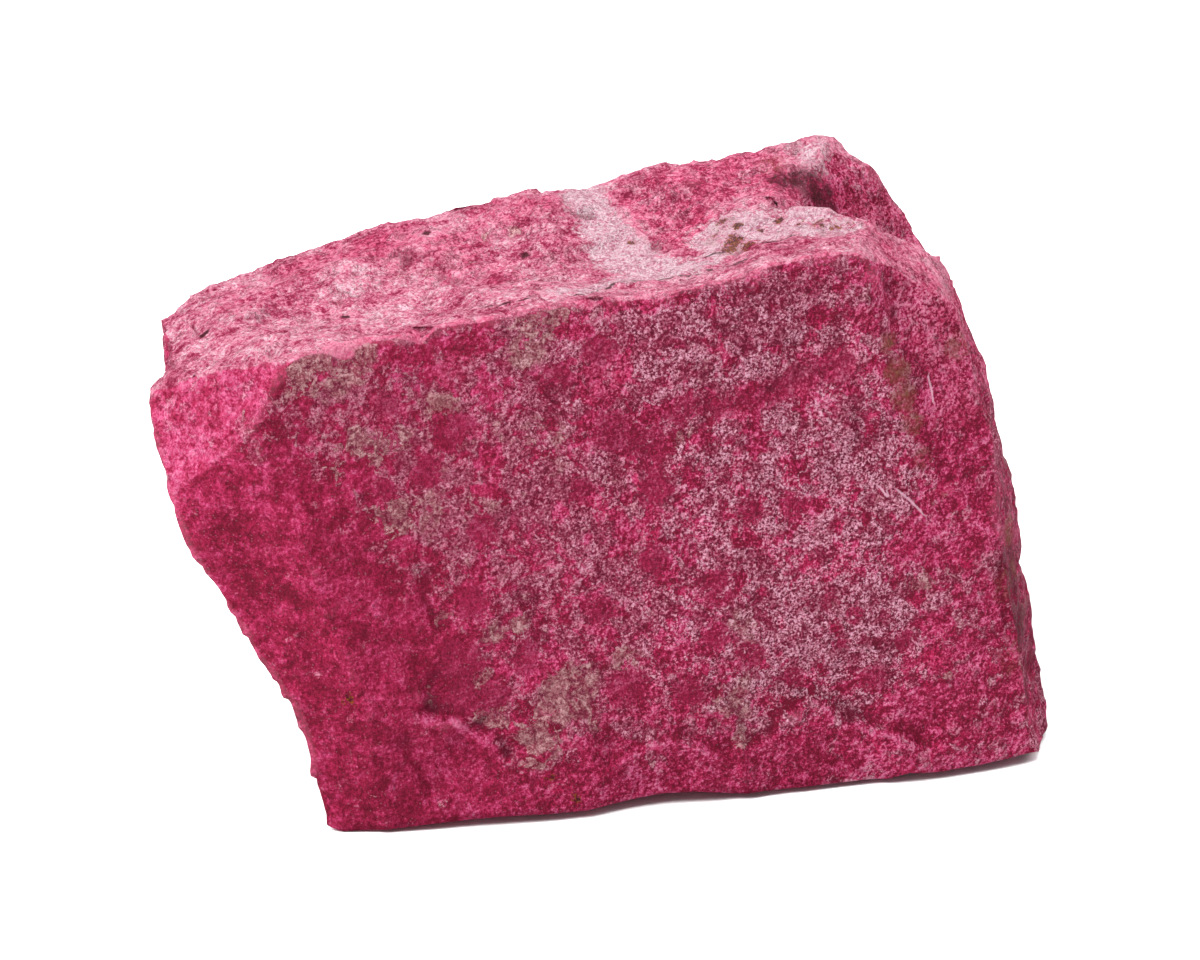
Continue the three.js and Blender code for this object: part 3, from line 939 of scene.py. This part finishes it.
@dataclass
class ThuliteLayers:
    """Lays the colours of the stone over each other, from the grain up.

    Args:
        n: Where the nodes are added.
        paint: The colours.
        noise: The shared noises.
    """

    n: Nodes
    paint: ThuliteFinish
    noise: StoneNoise
    shadow_way: Triple = (-0.17, -0.10, 0.17)

    def lay(self) -> Socket:
        """Lays every layer.

        Returns:
            The finished colour.
        """
        self.busy = self.n.painted("busy")
        self.lay_grain()
        self.lay_upper_grain()
        self.lay_flush_and_highlight()
        self.lay_veil()
        self.lay_crust()
        self.lay_windows()
        self.lay_speckles()
        self.lay_vein()
        self.lay_stains()
        self.lay_wear_light_and_shade()
        self.lay_cracks()
        return self.colour

    def over(self, colour: object, *shares: object) -> None:
        """Lays a colour over the others, as thick as the product of the shares."""
        self.colour = self.n.mix(self.n.times(*shares), self.colour, colour)

    def lay_grain(self) -> None:
        """Magenta grain, with the painted highlight and shade of the facets, the small cliffs and
        the grains.
        """
        n, s = self.n, self.noise
        broad = n.swings(
            (s.grainy, 0.36), (s.patches, 0.16), (s.mottle, 0.30), (s.scale_tone[0], 0.10)
        )
        near = n.swings((s.fine, 0.66), (s.patches, 0.38), (s.sugar_tone[2], 0.13))
        near = n.math("MULTIPLY_ADD", s.emboss, 0.6, near)
        # Painted highlight and shade of the small cliffs
        scarp_light_and_shade = n.math("MULTIPLY_ADD", n.painted("scarp_light_and_shade"), 0.12, 0.5)
        self.body = n.plus(broad, n.times(near, self.busy), n.painted("tone_and_painted_light"), scarp_light_and_shade)
        self.colour = n.ramp(self.body, self.paint.grain)
        hot = n.step(0.54, 0.62, n.fractal(s.warped, Waves(0.50, 5.0, 0.62)))
        self.over(self.paint.hot, hot, n.step(0.40, 0.50, s.fine), self.busy, 0.36)

    def lay_upper_grain(self) -> None:
        """The paler grain of the fresh upper faces, laid on two facets as a painted highlight too.
        """
        n, s = self.n, self.noise
        body = n.swings(
            (s.grainy, 0.50), (s.patches, 0.62), (s.mottle, 0.60), (s.scale_tone[1], 0.08),
            (s.fine, 0.50), (s.sugar_tone[1], 0.13),
        )
        body = n.plus(body, n.math("MULTIPLY_ADD", s.emboss, 0.5, 0.535), n.painted("tone_and_painted_light"))
        self.bloom_and_highlight = n.step(0.38, 0.60, n.frayed("bloom_and_highlight", (s.grainy, 0.8)))
        self.over(n.ramp(body, self.paint.upper), self.bloom_and_highlight)

    def lay_flush_and_highlight(self) -> None:
        """Flushed places on the top, and a painted highlight on the shoulder, the corner and the
        lit facets.
        """
        n, s = self.n, self.noise
        ground = n.step(0.36, 0.56, n.plus(s.fine, n.swings((s.grainy, 1.2))))
        glow_and_highlight = n.ramp(n.plus(self.body, 0.08), self.paint.glow_and_highlight)
        self.over(glow_and_highlight, n.painted("flush_and_highlight"), ground, 0.8)

    def lay_veil(self) -> None:
        """A thin mauve veil. The clear places, where crust and veil stay away, are set here."""
        n, s = self.n, self.noise
        self.clear = n.step(0.45, 0.60, n.frayed("clear", (s.ragged, 2.6), (s.patches, 2.8)))
        haze = n.sum((n.painted("haze"), 0.16), (self.clear, -0.20))
        veil = n.plus(n.sum((s.lobes, 1.0), (s.patches, 0.5), (s.ragged, 0.6)), haze)
        grit = n.swings((s.fine, 0.62), (s.grainy, 0.7), (s.patches, 0.5))
        grit = n.plus(grit, n.math("MULTIPLY_ADD", s.emboss, 1.1, 0.5))
        self.over(n.ramp(grit, self.paint.veil), n.step(1.08, 1.20, veil), 0.72)

    def lay_crust(self) -> None:
        """Ragged crust, pale or olive, with painted shadow and highlight at its edges, and joints
        between scales.
        """
        n, s = self.n, self.noise
        patchy = n.sum((n.painted("crust"), 0.30), (self.clear, -0.24), (s.scale_tone[2], 0.17))
        field_here = n.plus(n.sum((s.lobes, 1.20), (s.ragged, 0.62)), patchy)
        beside = n.vector("ADD", s.warped, self.shadow_way)
        lobes, ragged = (n.fractal(beside, waves) for waves in (s.lobe_waves, s.ragged_waves))
        field_beside = n.plus(n.sum((lobes, 1.20), (ragged, 0.62)), patchy)
        crust = n.step(1.09, 1.12, field_here)
        # Painted highlight on the crust's upper left edge
        painted_crust_highlight = n.times(crust, n.step(1.145, 1.075, field_beside))

        grit = n.swings(
            (s.fine, 0.42), (s.curl, 0.22), (s.ragged, 0.16), (s.patches, 0.20),
            (s.sugar_tone[0], 0.08),
        )
        grit = n.times(grit, 1.9, n.math("MULTIPLY_ADD", self.busy, 0.7, 0.35))
        self.grit = n.plus(grit, n.math("MULTIPLY_ADD", painted_crust_highlight, 0.07, 0.49))
        self.olive = n.step(0.25, 0.85, n.frayed("olive", (s.lobes, 2.2), (s.ragged, 1.8)))
        scaly = n.swings((s.ragged, 1.3), (s.fine, 0.65), (s.curl, 0.5), (s.scale_tone[1], 0.10))
        scaly = n.ramp(n.plus(scaly, 0.5), self.paint.olive)
        crust_colour = n.mix(self.olive, n.ramp(self.grit, self.paint.crust), scaly)

        # Painted shadow of the crust, down and to the right of it
        painted_crust_shadow = n.times(n.step(1.075, 1.145, field_beside), n.step(1.12, 1.08, field_here))
        self.over(self.paint.wine, painted_crust_shadow, 0.62)
        joint = n.times(n.step(0.10, 0.03, s.seam), n.step(0.48, 0.56, s.ragged))
        self.over(self.paint.wine, joint, self.busy, 0.34)
        density = n.math("MULTIPLY_ADD", n.step(0.40, 0.56, s.patches), 0.33, 0.62)
        density = n.math("MAXIMUM", density, n.times(self.olive, 0.80))
        self.over(crust_colour, crust, density)

    def lay_windows(self) -> None:
        """Deep red windows."""
        self.over(self.n.ramp(self.noise.fine, self.paint.deep), self.clear, 0.58)

    def lay_speckles(self) -> None:
        """White curls and grains of the speckled ground, with dark gaps between them."""
        n, s = self.n, self.noise
        ground = n.sum(
            (n.painted("speck"), 0.10), (s.patches, 1.0), (s.ragged, 0.5), (self.clear, -0.12)
        )
        ground = n.step(0.87, 0.95, ground)
        self.over(self.paint.wine, ground, n.step(0.46, 0.40, s.fine), 0.72)
        curls = n.math("MAXIMUM", n.ridge(s.curl, 0.030), n.step(0.58, 0.64, s.fine))
        self.over(self.paint.white, ground, curls, n.step(0.42, 0.50, s.fine), 0.74)
        loose = n.times(n.step(0.86, 0.93, s.sugar_tone[1]), n.step(0.45, 0.30, s.sugar))
        self.over(self.paint.white, loose, n.math("MULTIPLY_ADD", ground, 0.5, 0.12))

    def lay_vein(self) -> None:
        """White vein."""
        n, s = self.n, self.noise
        vein = n.step(-0.6, 0.7, n.frayed("vein", (s.ragged, 4.5), (s.lobes, 4.0)))
        grain = n.plus(n.swings((s.fine, 0.935), (s.ragged, 0.765)), 0.5)
        self.over(n.ramp(grain, self.paint.vein), vein, 0.92)

    def lay_stains(self) -> None:
        """Painted shade in hollows, dark places, rust and the brown stains."""
        n, s, paint = self.n, self.noise, self.paint
        # Painted shade in the hollows of the top, and darker places on the right end
        shade = n.step(0.3, 0.9, n.frayed("dark", (s.ragged, 2.4), (s.fine, 1.2)))
        self.over(paint.wine, shade, n.step(0.04, 0.2, n.painted("dark")), 0.7)
        # Near black as painted shade where the painted value is strongest, in the deepest hollows
        deepest_shade = n.step(0.75, 1.15, n.frayed("dark", (s.ragged, 1.2), (s.fine, 1.2)))
        self.over(paint.black_and_shade, deepest_shade, 0.8)
        rust = n.frayed("rust", (s.ragged, 3.8), (s.fine, 2.6))
        rust = n.times(rust, n.step(0.08, 0.25, n.painted("rust")))
        rust_colour = n.mix(n.step(0.62, 0.48, s.fine), paint.rust, paint.black_and_shade)
        self.over(rust_colour, n.step(0.56, 0.70, rust), 0.92)
        stain = n.step(0.25, 0.85, n.frayed("stain", (s.ragged, 1.3), (s.fine, 0.8)))
        mossy = n.math("MULTIPLY_ADD", self.olive, 0.6, 0.12)
        stain_colour = n.mix(mossy, paint.brown, n.ramp(self.grit, paint.olive))
        streak = n.step(0.36, 0.58, n.sum((s.ragged, 0.6), (s.fine, 0.4)))
        self.over(stain_colour, stain, n.math("MULTIPLY_ADD", streak, 0.40, 0.25))

    def lay_wear_light_and_shade(self) -> None:
        """A painted highlight on the front arris, worn convex edges, and painted shade in concave
        places.
        """
        n, s, paint = self.n, self.noise, self.paint
        # Painted highlight along the front arris
        arris_highlight = n.step(0.45, 0.65, n.frayed("arris_highlight", (s.grainy, 0.8)))
        self.over(n.ramp(n.plus(self.body, 0.14), paint.glow_and_highlight), arris_highlight, 0.70)
        self.over(paint.blush, n.step(0.05, 0.20, n.frayed("wear_and_hollow_shade", (s.ragged, 0.25))), 0.14)
        # Painted shade in concave places
        self.over(paint.wine, n.step(-0.03, -0.18, n.painted("wear_and_hollow_shade")), 0.55)

    def lay_cracks(self) -> None:
        """Winding dark lines, drawn cracks, hair cracks and pale scratches."""
        n, s, paint = self.n, self.noise, self.paint
        worm = n.ridge(n.fractal(s.point, Waves(1.05, 3.0, 0.6)), 0.030)
        worm_on = n.times(n.step(0.46, 0.52, s.patches), n.step(0.40, 0.50, s.fine))
        self.over(paint.wine, worm, worm_on, self.bloom_and_highlight, 0.72)

        wobble = n.fractal(s.point, Waves(1.4, 3.0))
        gap = n.math("ABSOLUTE", n.frayed("crack", (wobble, 0.9)))
        broken = n.step(0.41, 0.47, n.fractal(s.point, Waves(0.9, 3.0, 0.6)))
        crack = n.times(n.step(0.30, 0.12, gap), n.painted("crack_on"), broken)
        hair_on = n.step(0.50, 0.56, n.fractal(s.point, Waves(0.33, 3.0, 0.6)))
        hair = n.ridge(n.fractal(s.warped, Waves(0.75, 3.0, 0.55)), 0.012)
        self.over(paint.black_and_shade, n.math("MAXIMUM", crack, n.times(hair, hair_on, 0.6)), 0.8)

        gap = n.math("ABSOLUTE", n.frayed("scratch", (s.fine, 0.25)))
        self.over(paint.white, n.step(0.16, 0.06, gap), n.painted("scratch_on"), 0.75)

    def roughness(self) -> Socket:
        """How rough the stone is, from crystal to crystal."""
        least, more = self.paint.roughness
        return self.n.math("MULTIPLY_ADD", self.noise.crystal_tone[2], more, least)

    def relief(self) -> Socket:
        """Fine relief.

        Returns:
            The normal, from a height in millimetres.
        """
        n, s = self.n, self.noise
        terraces = n.plus(*(n.step(low, low + 0.015, s.lobes) for low in (0.44, 0.51, 0.58)))
        height = n.sum(
            (terraces, 0.07), (s.crystal, -0.06), (s.sugar, -0.035), (s.fine, 0.16),
            (s.grainy, 0.34), (s.curl, 0.10),
        )
        bump = n.add("ShaderNodeBump")
        bump.inputs["Strength"].default_value = self.paint.bump
        bump.inputs["Distance"].default_value = MM
        n.plug(bump.inputs["Height"], height)
        return bump.outputs[0]


# ---- The stone -----------------------------------------------------------------------------------


@dataclass(frozen=True)
class Shares:
    """How far each vertex belongs to the stone's main faces, from 0 to 1."""

    front: np.ndarray
    upper: np.ndarray
    corner: np.ndarray
    shoulder: np.ndarray

    @property
    def elsewhere(self) -> np.ndarray:
        """What is left for the back, the ends and the underside."""
        left = (1.0 - self.front) * (1.0 - self.upper)
        return left * (1.0 - self.corner) * (1.0 - self.shoulder)


@dataclass
class ThuliteBlock:
    """The block of thulite.

    Args:
        node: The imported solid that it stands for.
    """

    node: bpy.types.Object
    finish: ThuliteFinish = ThuliteFinish()
    weld_m: float = 1e-7
    arris_angle: float = math.radians(24.0)
    foot: float = 0.004
    rounds: int = 2
    last_ease: float = 0.15
    worn_rounds: int = 12
    noise_seed: int = 5
    front_way: Triple = (0.0, -1.0, 0.0)
    upper_way: Triple = (0.0, -0.1, 1.0)
    corner_way: Triple = (-0.68, -0.65, 0.335)
    shoulder_way: Triple = (0.62, -0.25, 0.74)
    arris_highlight_way: Triple = (0.05, -0.70, 0.71)

    def build(self) -> bpy.types.Object:
        """Makes the stone.

        Returns:
            The finished object, dressed and attached to the root body.
        """
        mesh = bpy.data.meshes.new("thulite_block")
        bm = bmesh.new()
        bm.from_mesh(self.node.data)
        bmesh.ops.remove_doubles(bm, verts=bm.verts, dist=self.weld_m)
        self.refine(bm)
        bm.to_mesh(mesh)
        bm.free()
        if "UVMap" in mesh.attributes:
            mesh.attributes.remove(mesh.attributes["UVMap"])
        surface = Surface(mesh)
        self.paint(surface)
        self.carve(surface)
        mesh.polygons.foreach_set("use_smooth", [True] * len(mesh.polygons))
        mesh.materials.clear()
        mesh.materials.append(self.finish.material())
        stone = bpy.data.objects.new("thulite_block", mesh)
        bpy.context.scene.collection.objects.link(stone)
        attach(stone, "root")
        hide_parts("stone")
        return stone

    def refine(self, bm: bmesh.types.BMesh) -> None:
        """Cuts the mesh finer and rounds it between its arrises; the feet stay flat.

        Args:
            bm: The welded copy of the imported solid.
        """
        for edge in bm.edges:
            edge.seam = edge.is_manifold and edge.calc_face_angle() > self.arris_angle
        floor = self.foot * MM
        for last in (False, True):
            cut = [e for e in bm.edges if not last or max(v.co.z for v in e.verts) > floor]
            bmesh.ops.subdivide_edges(bm, edges=cut, cuts=1, use_grid_fill=True)
            bmesh.ops.triangulate(bm, faces=[f for f in bm.faces if len(f.verts) > 3])
            arris = {v for e in bm.edges if e.seam for v in e.verts}
            free = [v for v in bm.verts if v.co.z > floor]
            self.ease(bm, [v for v in free if v not in arris], rounds=self.rounds)
            self.ease_arrises(free)
        self.ease(bm, free, self.last_ease)
        for place, radius in WORN:
            worn = [v for v in free if (v.co / MM - Vector(place)).length < radius]
            self.ease(bm, worn, rounds=self.worn_rounds)

    def ease(
        self, bm: bmesh.types.BMesh, verts: list[bmesh.types.BMVert],
        factor: float = 0.5, rounds: int = 1,
    ) -> None:
        """Evens out the vertices among their neighbours.

        Args:
            bm: The mesh.
            verts: The vertices that move.
            factor: How far each goes towards its neighbours.
            rounds: How often.
        """
        for _ in range(rounds):
            bmesh.ops.smooth_vert(
                bm, verts=verts, factor=factor, use_axis_x=True, use_axis_y=True, use_axis_z=True
            )

    def ease_arrises(self, free: list[bmesh.types.BMVert]) -> None:
        """Evens out each arris along its own line.

        Args:
            free: The vertices that may move.
        """
        eased = {}
        for vert in free:
            along = [e.other_vert(vert).co for e in vert.link_edges if e.seam]
            if len(along) == 2:
                eased[vert] = 0.5 * vert.co + 0.25 * (along[0] + along[1])
        for vert, place in eased.items():
            vert.co = place

    def paint(self, surface: Surface) -> None:
        """Paints where each finish lies.

        Args:
            surface: The stone's surface.
        """
        shares = Shares(
            front=surface.facing(self.front_way, 0.5, 0.8),
            upper=surface.facing(self.upper_way, 0.45, 0.85),
            corner=surface.facing(self.corner_way, 0.86, 0.97),
            shoulder=surface.facing(self.shoulder_way, 0.80, 0.95),
        )
        self.paint_front(surface, shares)
        self.paint_tones(surface, shares)
        self.paint_marks(surface)
        self.paint_lines(surface)

    def paint_front(self, surface: Surface, shares: Shares) -> None:
        """Paints crust, haze, olive patches, speckled ground and windows.

        Args:
            surface: The stone's surface.
            shares: How far each vertex belongs to the main faces.
        """
        elsewhere = shares.elsewhere
        haze = surface.dabs(Side.FRONT, HAZE)
        bare = surface.dabs(Side.FRONT, BARE)
        lit = surface.dabs(Side.FRONT, HIGHLIGHT_FACETS)
        crust = 0.75 * surface.dabs(Side.FRONT, CRUST) + 0.30 * haze - 0.8 * bare - 0.6 * lit
        crust += elsewhere * (0.35 + 0.5 * surface.fractal(11.0, 3, 3))
        crust -= 0.3 * shares.upper + 0.5 * shares.corner + 0.3 * shares.shoulder
        surface.store("crust", crust)
        surface.store("haze", haze - 0.8 * bare + 0.3 * elsewhere)
        ground = surface.dabs(Side.FRONT, SPECKLED)
        surface.store("speck", ground * 2.0 - bare - 1.2 * lit + 0.2 * elsewhere)
        mossy = elsewhere * 0.6 * smooth_step(0.0, 0.6, surface.fractal(9.0, 2, 5))
        greying = 0.16 * shares.front * (1.0 - smooth_step(-24.0, 6.0, surface.points[:, 0]))
        surface.store("olive", surface.dabs(Side.FRONT, OLIVE) + mossy + greying)
        signed, share = surface.beside(Side.FRONT, CLEAR_BAND)
        clear_band = 0.7 * share * (1.0 - smooth_step(0.6, 2.2, np.abs(signed)))
        surface.store("clear", np.maximum(surface.dabs(Side.FRONT, WINDOWS), clear_band))

    def paint_tones(self, surface: Surface, shares: Shares) -> None:
        """Paints how light, busy and flushed the grain is, painted highlight and shade, and the
        arris highlight.

        Args:
            surface: The stone's surface.
            shares: How far each vertex belongs to the main faces.
        """
        x, y, z = surface.points.T
        corner, shoulder = shares.corner, shares.shoulder
        bare = surface.dabs(Side.FRONT, BARE)
        lit = surface.dabs(Side.FRONT, HIGHLIGHT_FACETS)
        ruddy = surface.dabs(Side.TOP, RUDDY)
        dusty = surface.dabs(Side.TOP, DUSTY)
        # Painted highlight on the corner, the shoulder and the lit facets, painted shade on the
        # shaded facets; dusty, ruddy and bare places are the stone's own colour
        tone_and_painted_light = 0.08 * corner + 0.03 * shoulder + 0.04 * lit + 0.07 * dusty
        tone_and_painted_light -= 0.05 * surface.dabs(Side.FRONT, SHADED) + 0.03 * bare + 0.04 * ruddy
        surface.store("tone_and_painted_light", tone_and_painted_light)
        surface.store("busy", 0.50 + 0.70 * smooth_step(-26.0, 4.0, x) * (1.0 - 0.2 * bare))
        # Ruddy places are redder stone; the shoulder, the lit facets and the corner get it as a
        # painted highlight
        flush_and_highlight = np.max([0.80 * ruddy, 0.75 * shoulder, 0.75 * lit, 0.20 * corner], axis=0)
        surface.store("flush_and_highlight", flush_and_highlight)
        # The upper faces are paler stone; the shoulder and the corner get the pale grain as a
        # painted highlight
        bloom_and_highlight = shares.upper * (1.0 - 0.25 * ruddy) + 0.08 * shoulder + 0.26 * corner
        surface.store("bloom_and_highlight", np.clip(bloom_and_highlight, 0.0, 1.0))
        # A painted highlight along the front arris
        arris_highlight = surface.facing(self.arris_highlight_way, 0.79, 0.93)
        surface.store("arris_highlight", arris_highlight * smooth_step(20.0, 40.0, z) * smooth_step(-14.0, -16.5, y))

    def paint_marks(self, surface: Surface) -> None:
        """Paints the vein, the spotted patch, painted shade in hollows, dark places, the rust and
        the stains.

        Args:
            surface: The stone's surface.
        """
        bands = [surface.band(Side.TOP, spine) for spine in (VEIN, VEIN_SPUR, PALE_FLECK)]
        patch = 2.5 * surface.dabs(Side.TOP, SPOTTED_PATCH) - 1.6
        surface.store("vein", np.max([*bands, patch], axis=0))
        marks = {
            "dark": ((Side.TOP, SHADE_TOP), (Side.RIGHT, DARK_RIGHT)),
            "rust": ((Side.TOP, RUST_TOP), (Side.FRONT, RUST_FRONT)),
            "stain": ((Side.FRONT, STAIN_FRONT), (Side.TOP, STAIN_TOP), (Side.RIGHT, RUST_RIGHT)),
        }
        for name, places in marks.items():
            surface.store(name, np.max([surface.dabs(*place) for place in places], axis=0))

    def paint_lines(self, surface: Surface) -> None:
        """Paints how far each vertex is from the nearest crack and scratch.

        Args:
            surface: The stone's surface.
        """
        for name, side, lines in (
            ("crack", Side.TOP, TOP_CRACKS), ("scratch", Side.FRONT, SCRATCHES)
        ):
            gap = np.full(len(surface.points), 9.0)
            on = np.zeros(len(surface.points))
            for line in lines:
                signed, share = surface.beside(side, line)
                nearer = np.abs(signed) < np.abs(gap)
                gap = np.where(nearer, signed, gap)
                on = np.where(nearer, share, on)
            surface.store(name, gap)
            surface.store(name + "_on", on)

    def carve(self, surface: Surface) -> None:
        """Gives the stone its fine relief, then paints the worn edges and the painted light and
        shade that follow from it.

        Args:
            surface: The stone's surface.
        """
        noise.seed_set(self.noise_seed)
        lively = 1.0 - 0.5 * surface.facing(self.front_way, 0.5, 0.8)
        height = lively * 0.40 * surface.fractal(8.0, 3, 1)
        height += lively * surface.facets(5.6, 0.15, 6)
        height += lively * surface.facets(2.5, 0.20, 2)
        height += (0.2 + 0.6 * lively) * surface.facets(1.25, 0.24, 4)
        height += 0.10 * surface.fractal(1.7, 3, 7)
        scarp_light_and_shade = self.cut_scarps(surface, height)
        shift = np.zeros_like(surface.points)
        for swell in SWELLS:
            shift += surface.swell(swell)
        above = smooth_step(0.02, 1.5, surface.points[:, 2])
        surface.points += (surface.normals * height[:, None] + shift) * above[:, None]
        self.lift_foot(surface)
        surface.points[:, 2] = np.maximum(surface.points[:, 2], 0.0)
        surface.write()
        surface.read()
        surface.store("scarp_light_and_shade", scarp_light_and_shade)
        # Curvature: worn convex edges, and painted shade where it is negative
        surface.store("wear_and_hollow_shade", surface.curvature(3) * smooth_step(3.0, 9.0, surface.points[:, 2]))

    def cut_scarps(self, surface: Surface, height: np.ndarray) -> np.ndarray:
        """Cuts the small cliffs.

        Args:
            surface: The stone's surface.
            height: The relief so far, which is lowered below each cliff.

        Returns:
            The painted highlight along each cliff's top edge, less the painted shade at its foot.
        """
        scarp_light_and_shade = np.zeros(len(surface.points))
        sway = 0.35 * surface.fractal(2.0, 2, 8)
        for side, scarps in ((Side.FRONT, SCARPS), (Side.TOP, TOP_SCARPS)):
            for scarp in scarps:
                signed, share = surface.beside(side, Line(scarp.points))
                signed = signed + sway
                slope_end = 0.25 * scarp.run
                fall = smooth_step(-0.15, 0.45, signed)
                fall = fall * (1.0 - smooth_step(slope_end, scarp.run, signed))
                height -= scarp.drop * share * fall
                # Painted highlight along the top edge, painted shade at the foot
                light = 1.0 - smooth_step(0.1, 0.55, np.abs(signed + 0.3))
                shade = smooth_step(-0.05, 0.25, signed)
                shade = shade * (1.0 - smooth_step(0.35, slope_end, signed))
                scarp_light_and_shade += share * (light - shade) * min(1.0, scarp.drop / 0.7)
        return scarp_light_and_shade

    def lift_foot(self, surface: Surface) -> None:
        """Lifts the front's lower edge a little off the floor, and draws out its left corner.

        Args:
            surface: The stone's surface.
        """
        x, y, z = surface.points.T
        lift = np.interp(x, *zip(*GAP))
        lift = lift * smooth_step(-11.0, -19.0, y)
        surface.points += surface.swell(FOOT_CORNER)
        surface.points[:, 1] -= lift * (1.0 - smooth_step(0.0, 14.0, z))
        surface.points[:, 2] += lift * (1.0 - smooth_step(0.0, 8.0, z))


# ---- Studio --------------------------------------------------------------------------------------


@dataclass
class Studio:
    """Floor, lights and camera."""

    floor_half_m: float = 4.0
    floor_colour: Colour = (0.95, 0.94, 0.95)
    sky_colour: Colour = (1.0, 0.985, 0.99)
    sky_strength: float = 0.34
    lit_point_m: Triple = (0.0, 0.0, 0.03)
    target: Triple = (0.483, -1.870, 27.0)
    azimuth: float = math.radians(-12.0)
    elevation: float = math.radians(22.0)
    distance: float = 450.0
    lens: float = 135.0
    sensor: float = 36.0

    def build(self) -> None:
        """Sets the stage."""
        self.lay_floor()
        self.hang_lights()
        self.place_camera()

    def lay_floor(self) -> None:
        """Lays a plain pale floor under the stone."""
        mesh = bpy.data.meshes.new("floor")
        bm = bmesh.new()
        bmesh.ops.create_grid(bm, x_segments=1, y_segments=1, size=self.floor_half_m)
        bm.to_mesh(mesh)
        bm.free()
        floor = bpy.data.objects.new("floor", mesh)
        bpy.context.scene.collection.objects.link(floor)
        material = bpy.data.materials.new("pale_floor")
        material.use_nodes = True
        shader = material.node_tree.nodes["Principled BSDF"]
        shader.inputs["Base Color"].default_value = (*self.floor_colour, 1.0)
        shader.inputs["Roughness"].default_value = 0.9
        shader.inputs["Specular IOR Level"].default_value = 0.0
        mesh.materials.append(material)

    def hang_lights(self) -> None:
        """Hangs large soft panels around the stone, under a pale sky."""
        scene = bpy.context.scene
        world = bpy.data.worlds.new("pale_sky")
        world.use_nodes = True
        sky = world.node_tree.nodes["Background"]
        sky.inputs["Color"].default_value = (*self.sky_colour, 1.0)
        sky.inputs["Strength"].default_value = self.sky_strength
        scene.world = world
        self.panel("key_panel", (-0.66, -0.27, 0.80), 0.55, 21.5)
        self.panel("back_panel", (0.28, 0.28, 1.02), 0.60, 12.0)
        self.panel("right_panel", (0.80, 0.02, 0.72), 0.60, 6.0)
        scene.view_settings.view_transform = "Standard"

    def panel(self, name: str, place: Triple, width: float, power: float) -> None:
        """Hangs one square light panel that looks at the stone.

        Args:
            name: The light's name.
            place: Where it hangs, in metres.
            width: Its width, in metres.
            power: Its power, in watts.
        """
        light = bpy.data.lights.new(name, "AREA")
        light.shape = "SQUARE"
        light.size = width
        light.energy = power
        lamp = bpy.data.objects.new(name, light)
        lamp.location = place
        back = Vector(place) - Vector(self.lit_point_m)
        lamp.rotation_euler = back.to_track_quat("Z", "Y").to_euler()
        bpy.context.scene.collection.objects.link(lamp)

    def place_camera(self) -> None:
        """Looks at the stone from the front left, a little from above."""
        back = Vector(
            (
                math.sin(self.azimuth) * math.cos(self.elevation),
                -math.cos(self.azimuth) * math.cos(self.elevation),
                math.sin(self.elevation),
            )
        )
        data = bpy.data.cameras.new("camera")
        data.lens = self.lens
        data.sensor_width = self.sensor
        data.clip_start = 0.01
        camera = bpy.data.objects.new("camera", data)
        camera.location = (Vector(self.target) + back * self.distance) * MM
        camera.rotation_euler = back.to_track_quat("Z", "Y").to_euler()
        bpy.context.scene.collection.objects.link(camera)
        bpy.context.scene.camera = camera


def main() -> None:
    """Builds the stone and the studio, and logs the stone's triangle count."""
    logging.basicConfig(level=logging.INFO)
    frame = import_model()
    stone = ThuliteBlock(frame["nodes"]["stone"]).build()
    log.info("%s: %d triangles", stone.name, len(stone.data.polygons))
    Studio().build()
    log.info("studio: floor, three light panels and camera")


if __name__ == "__main__":
    main()
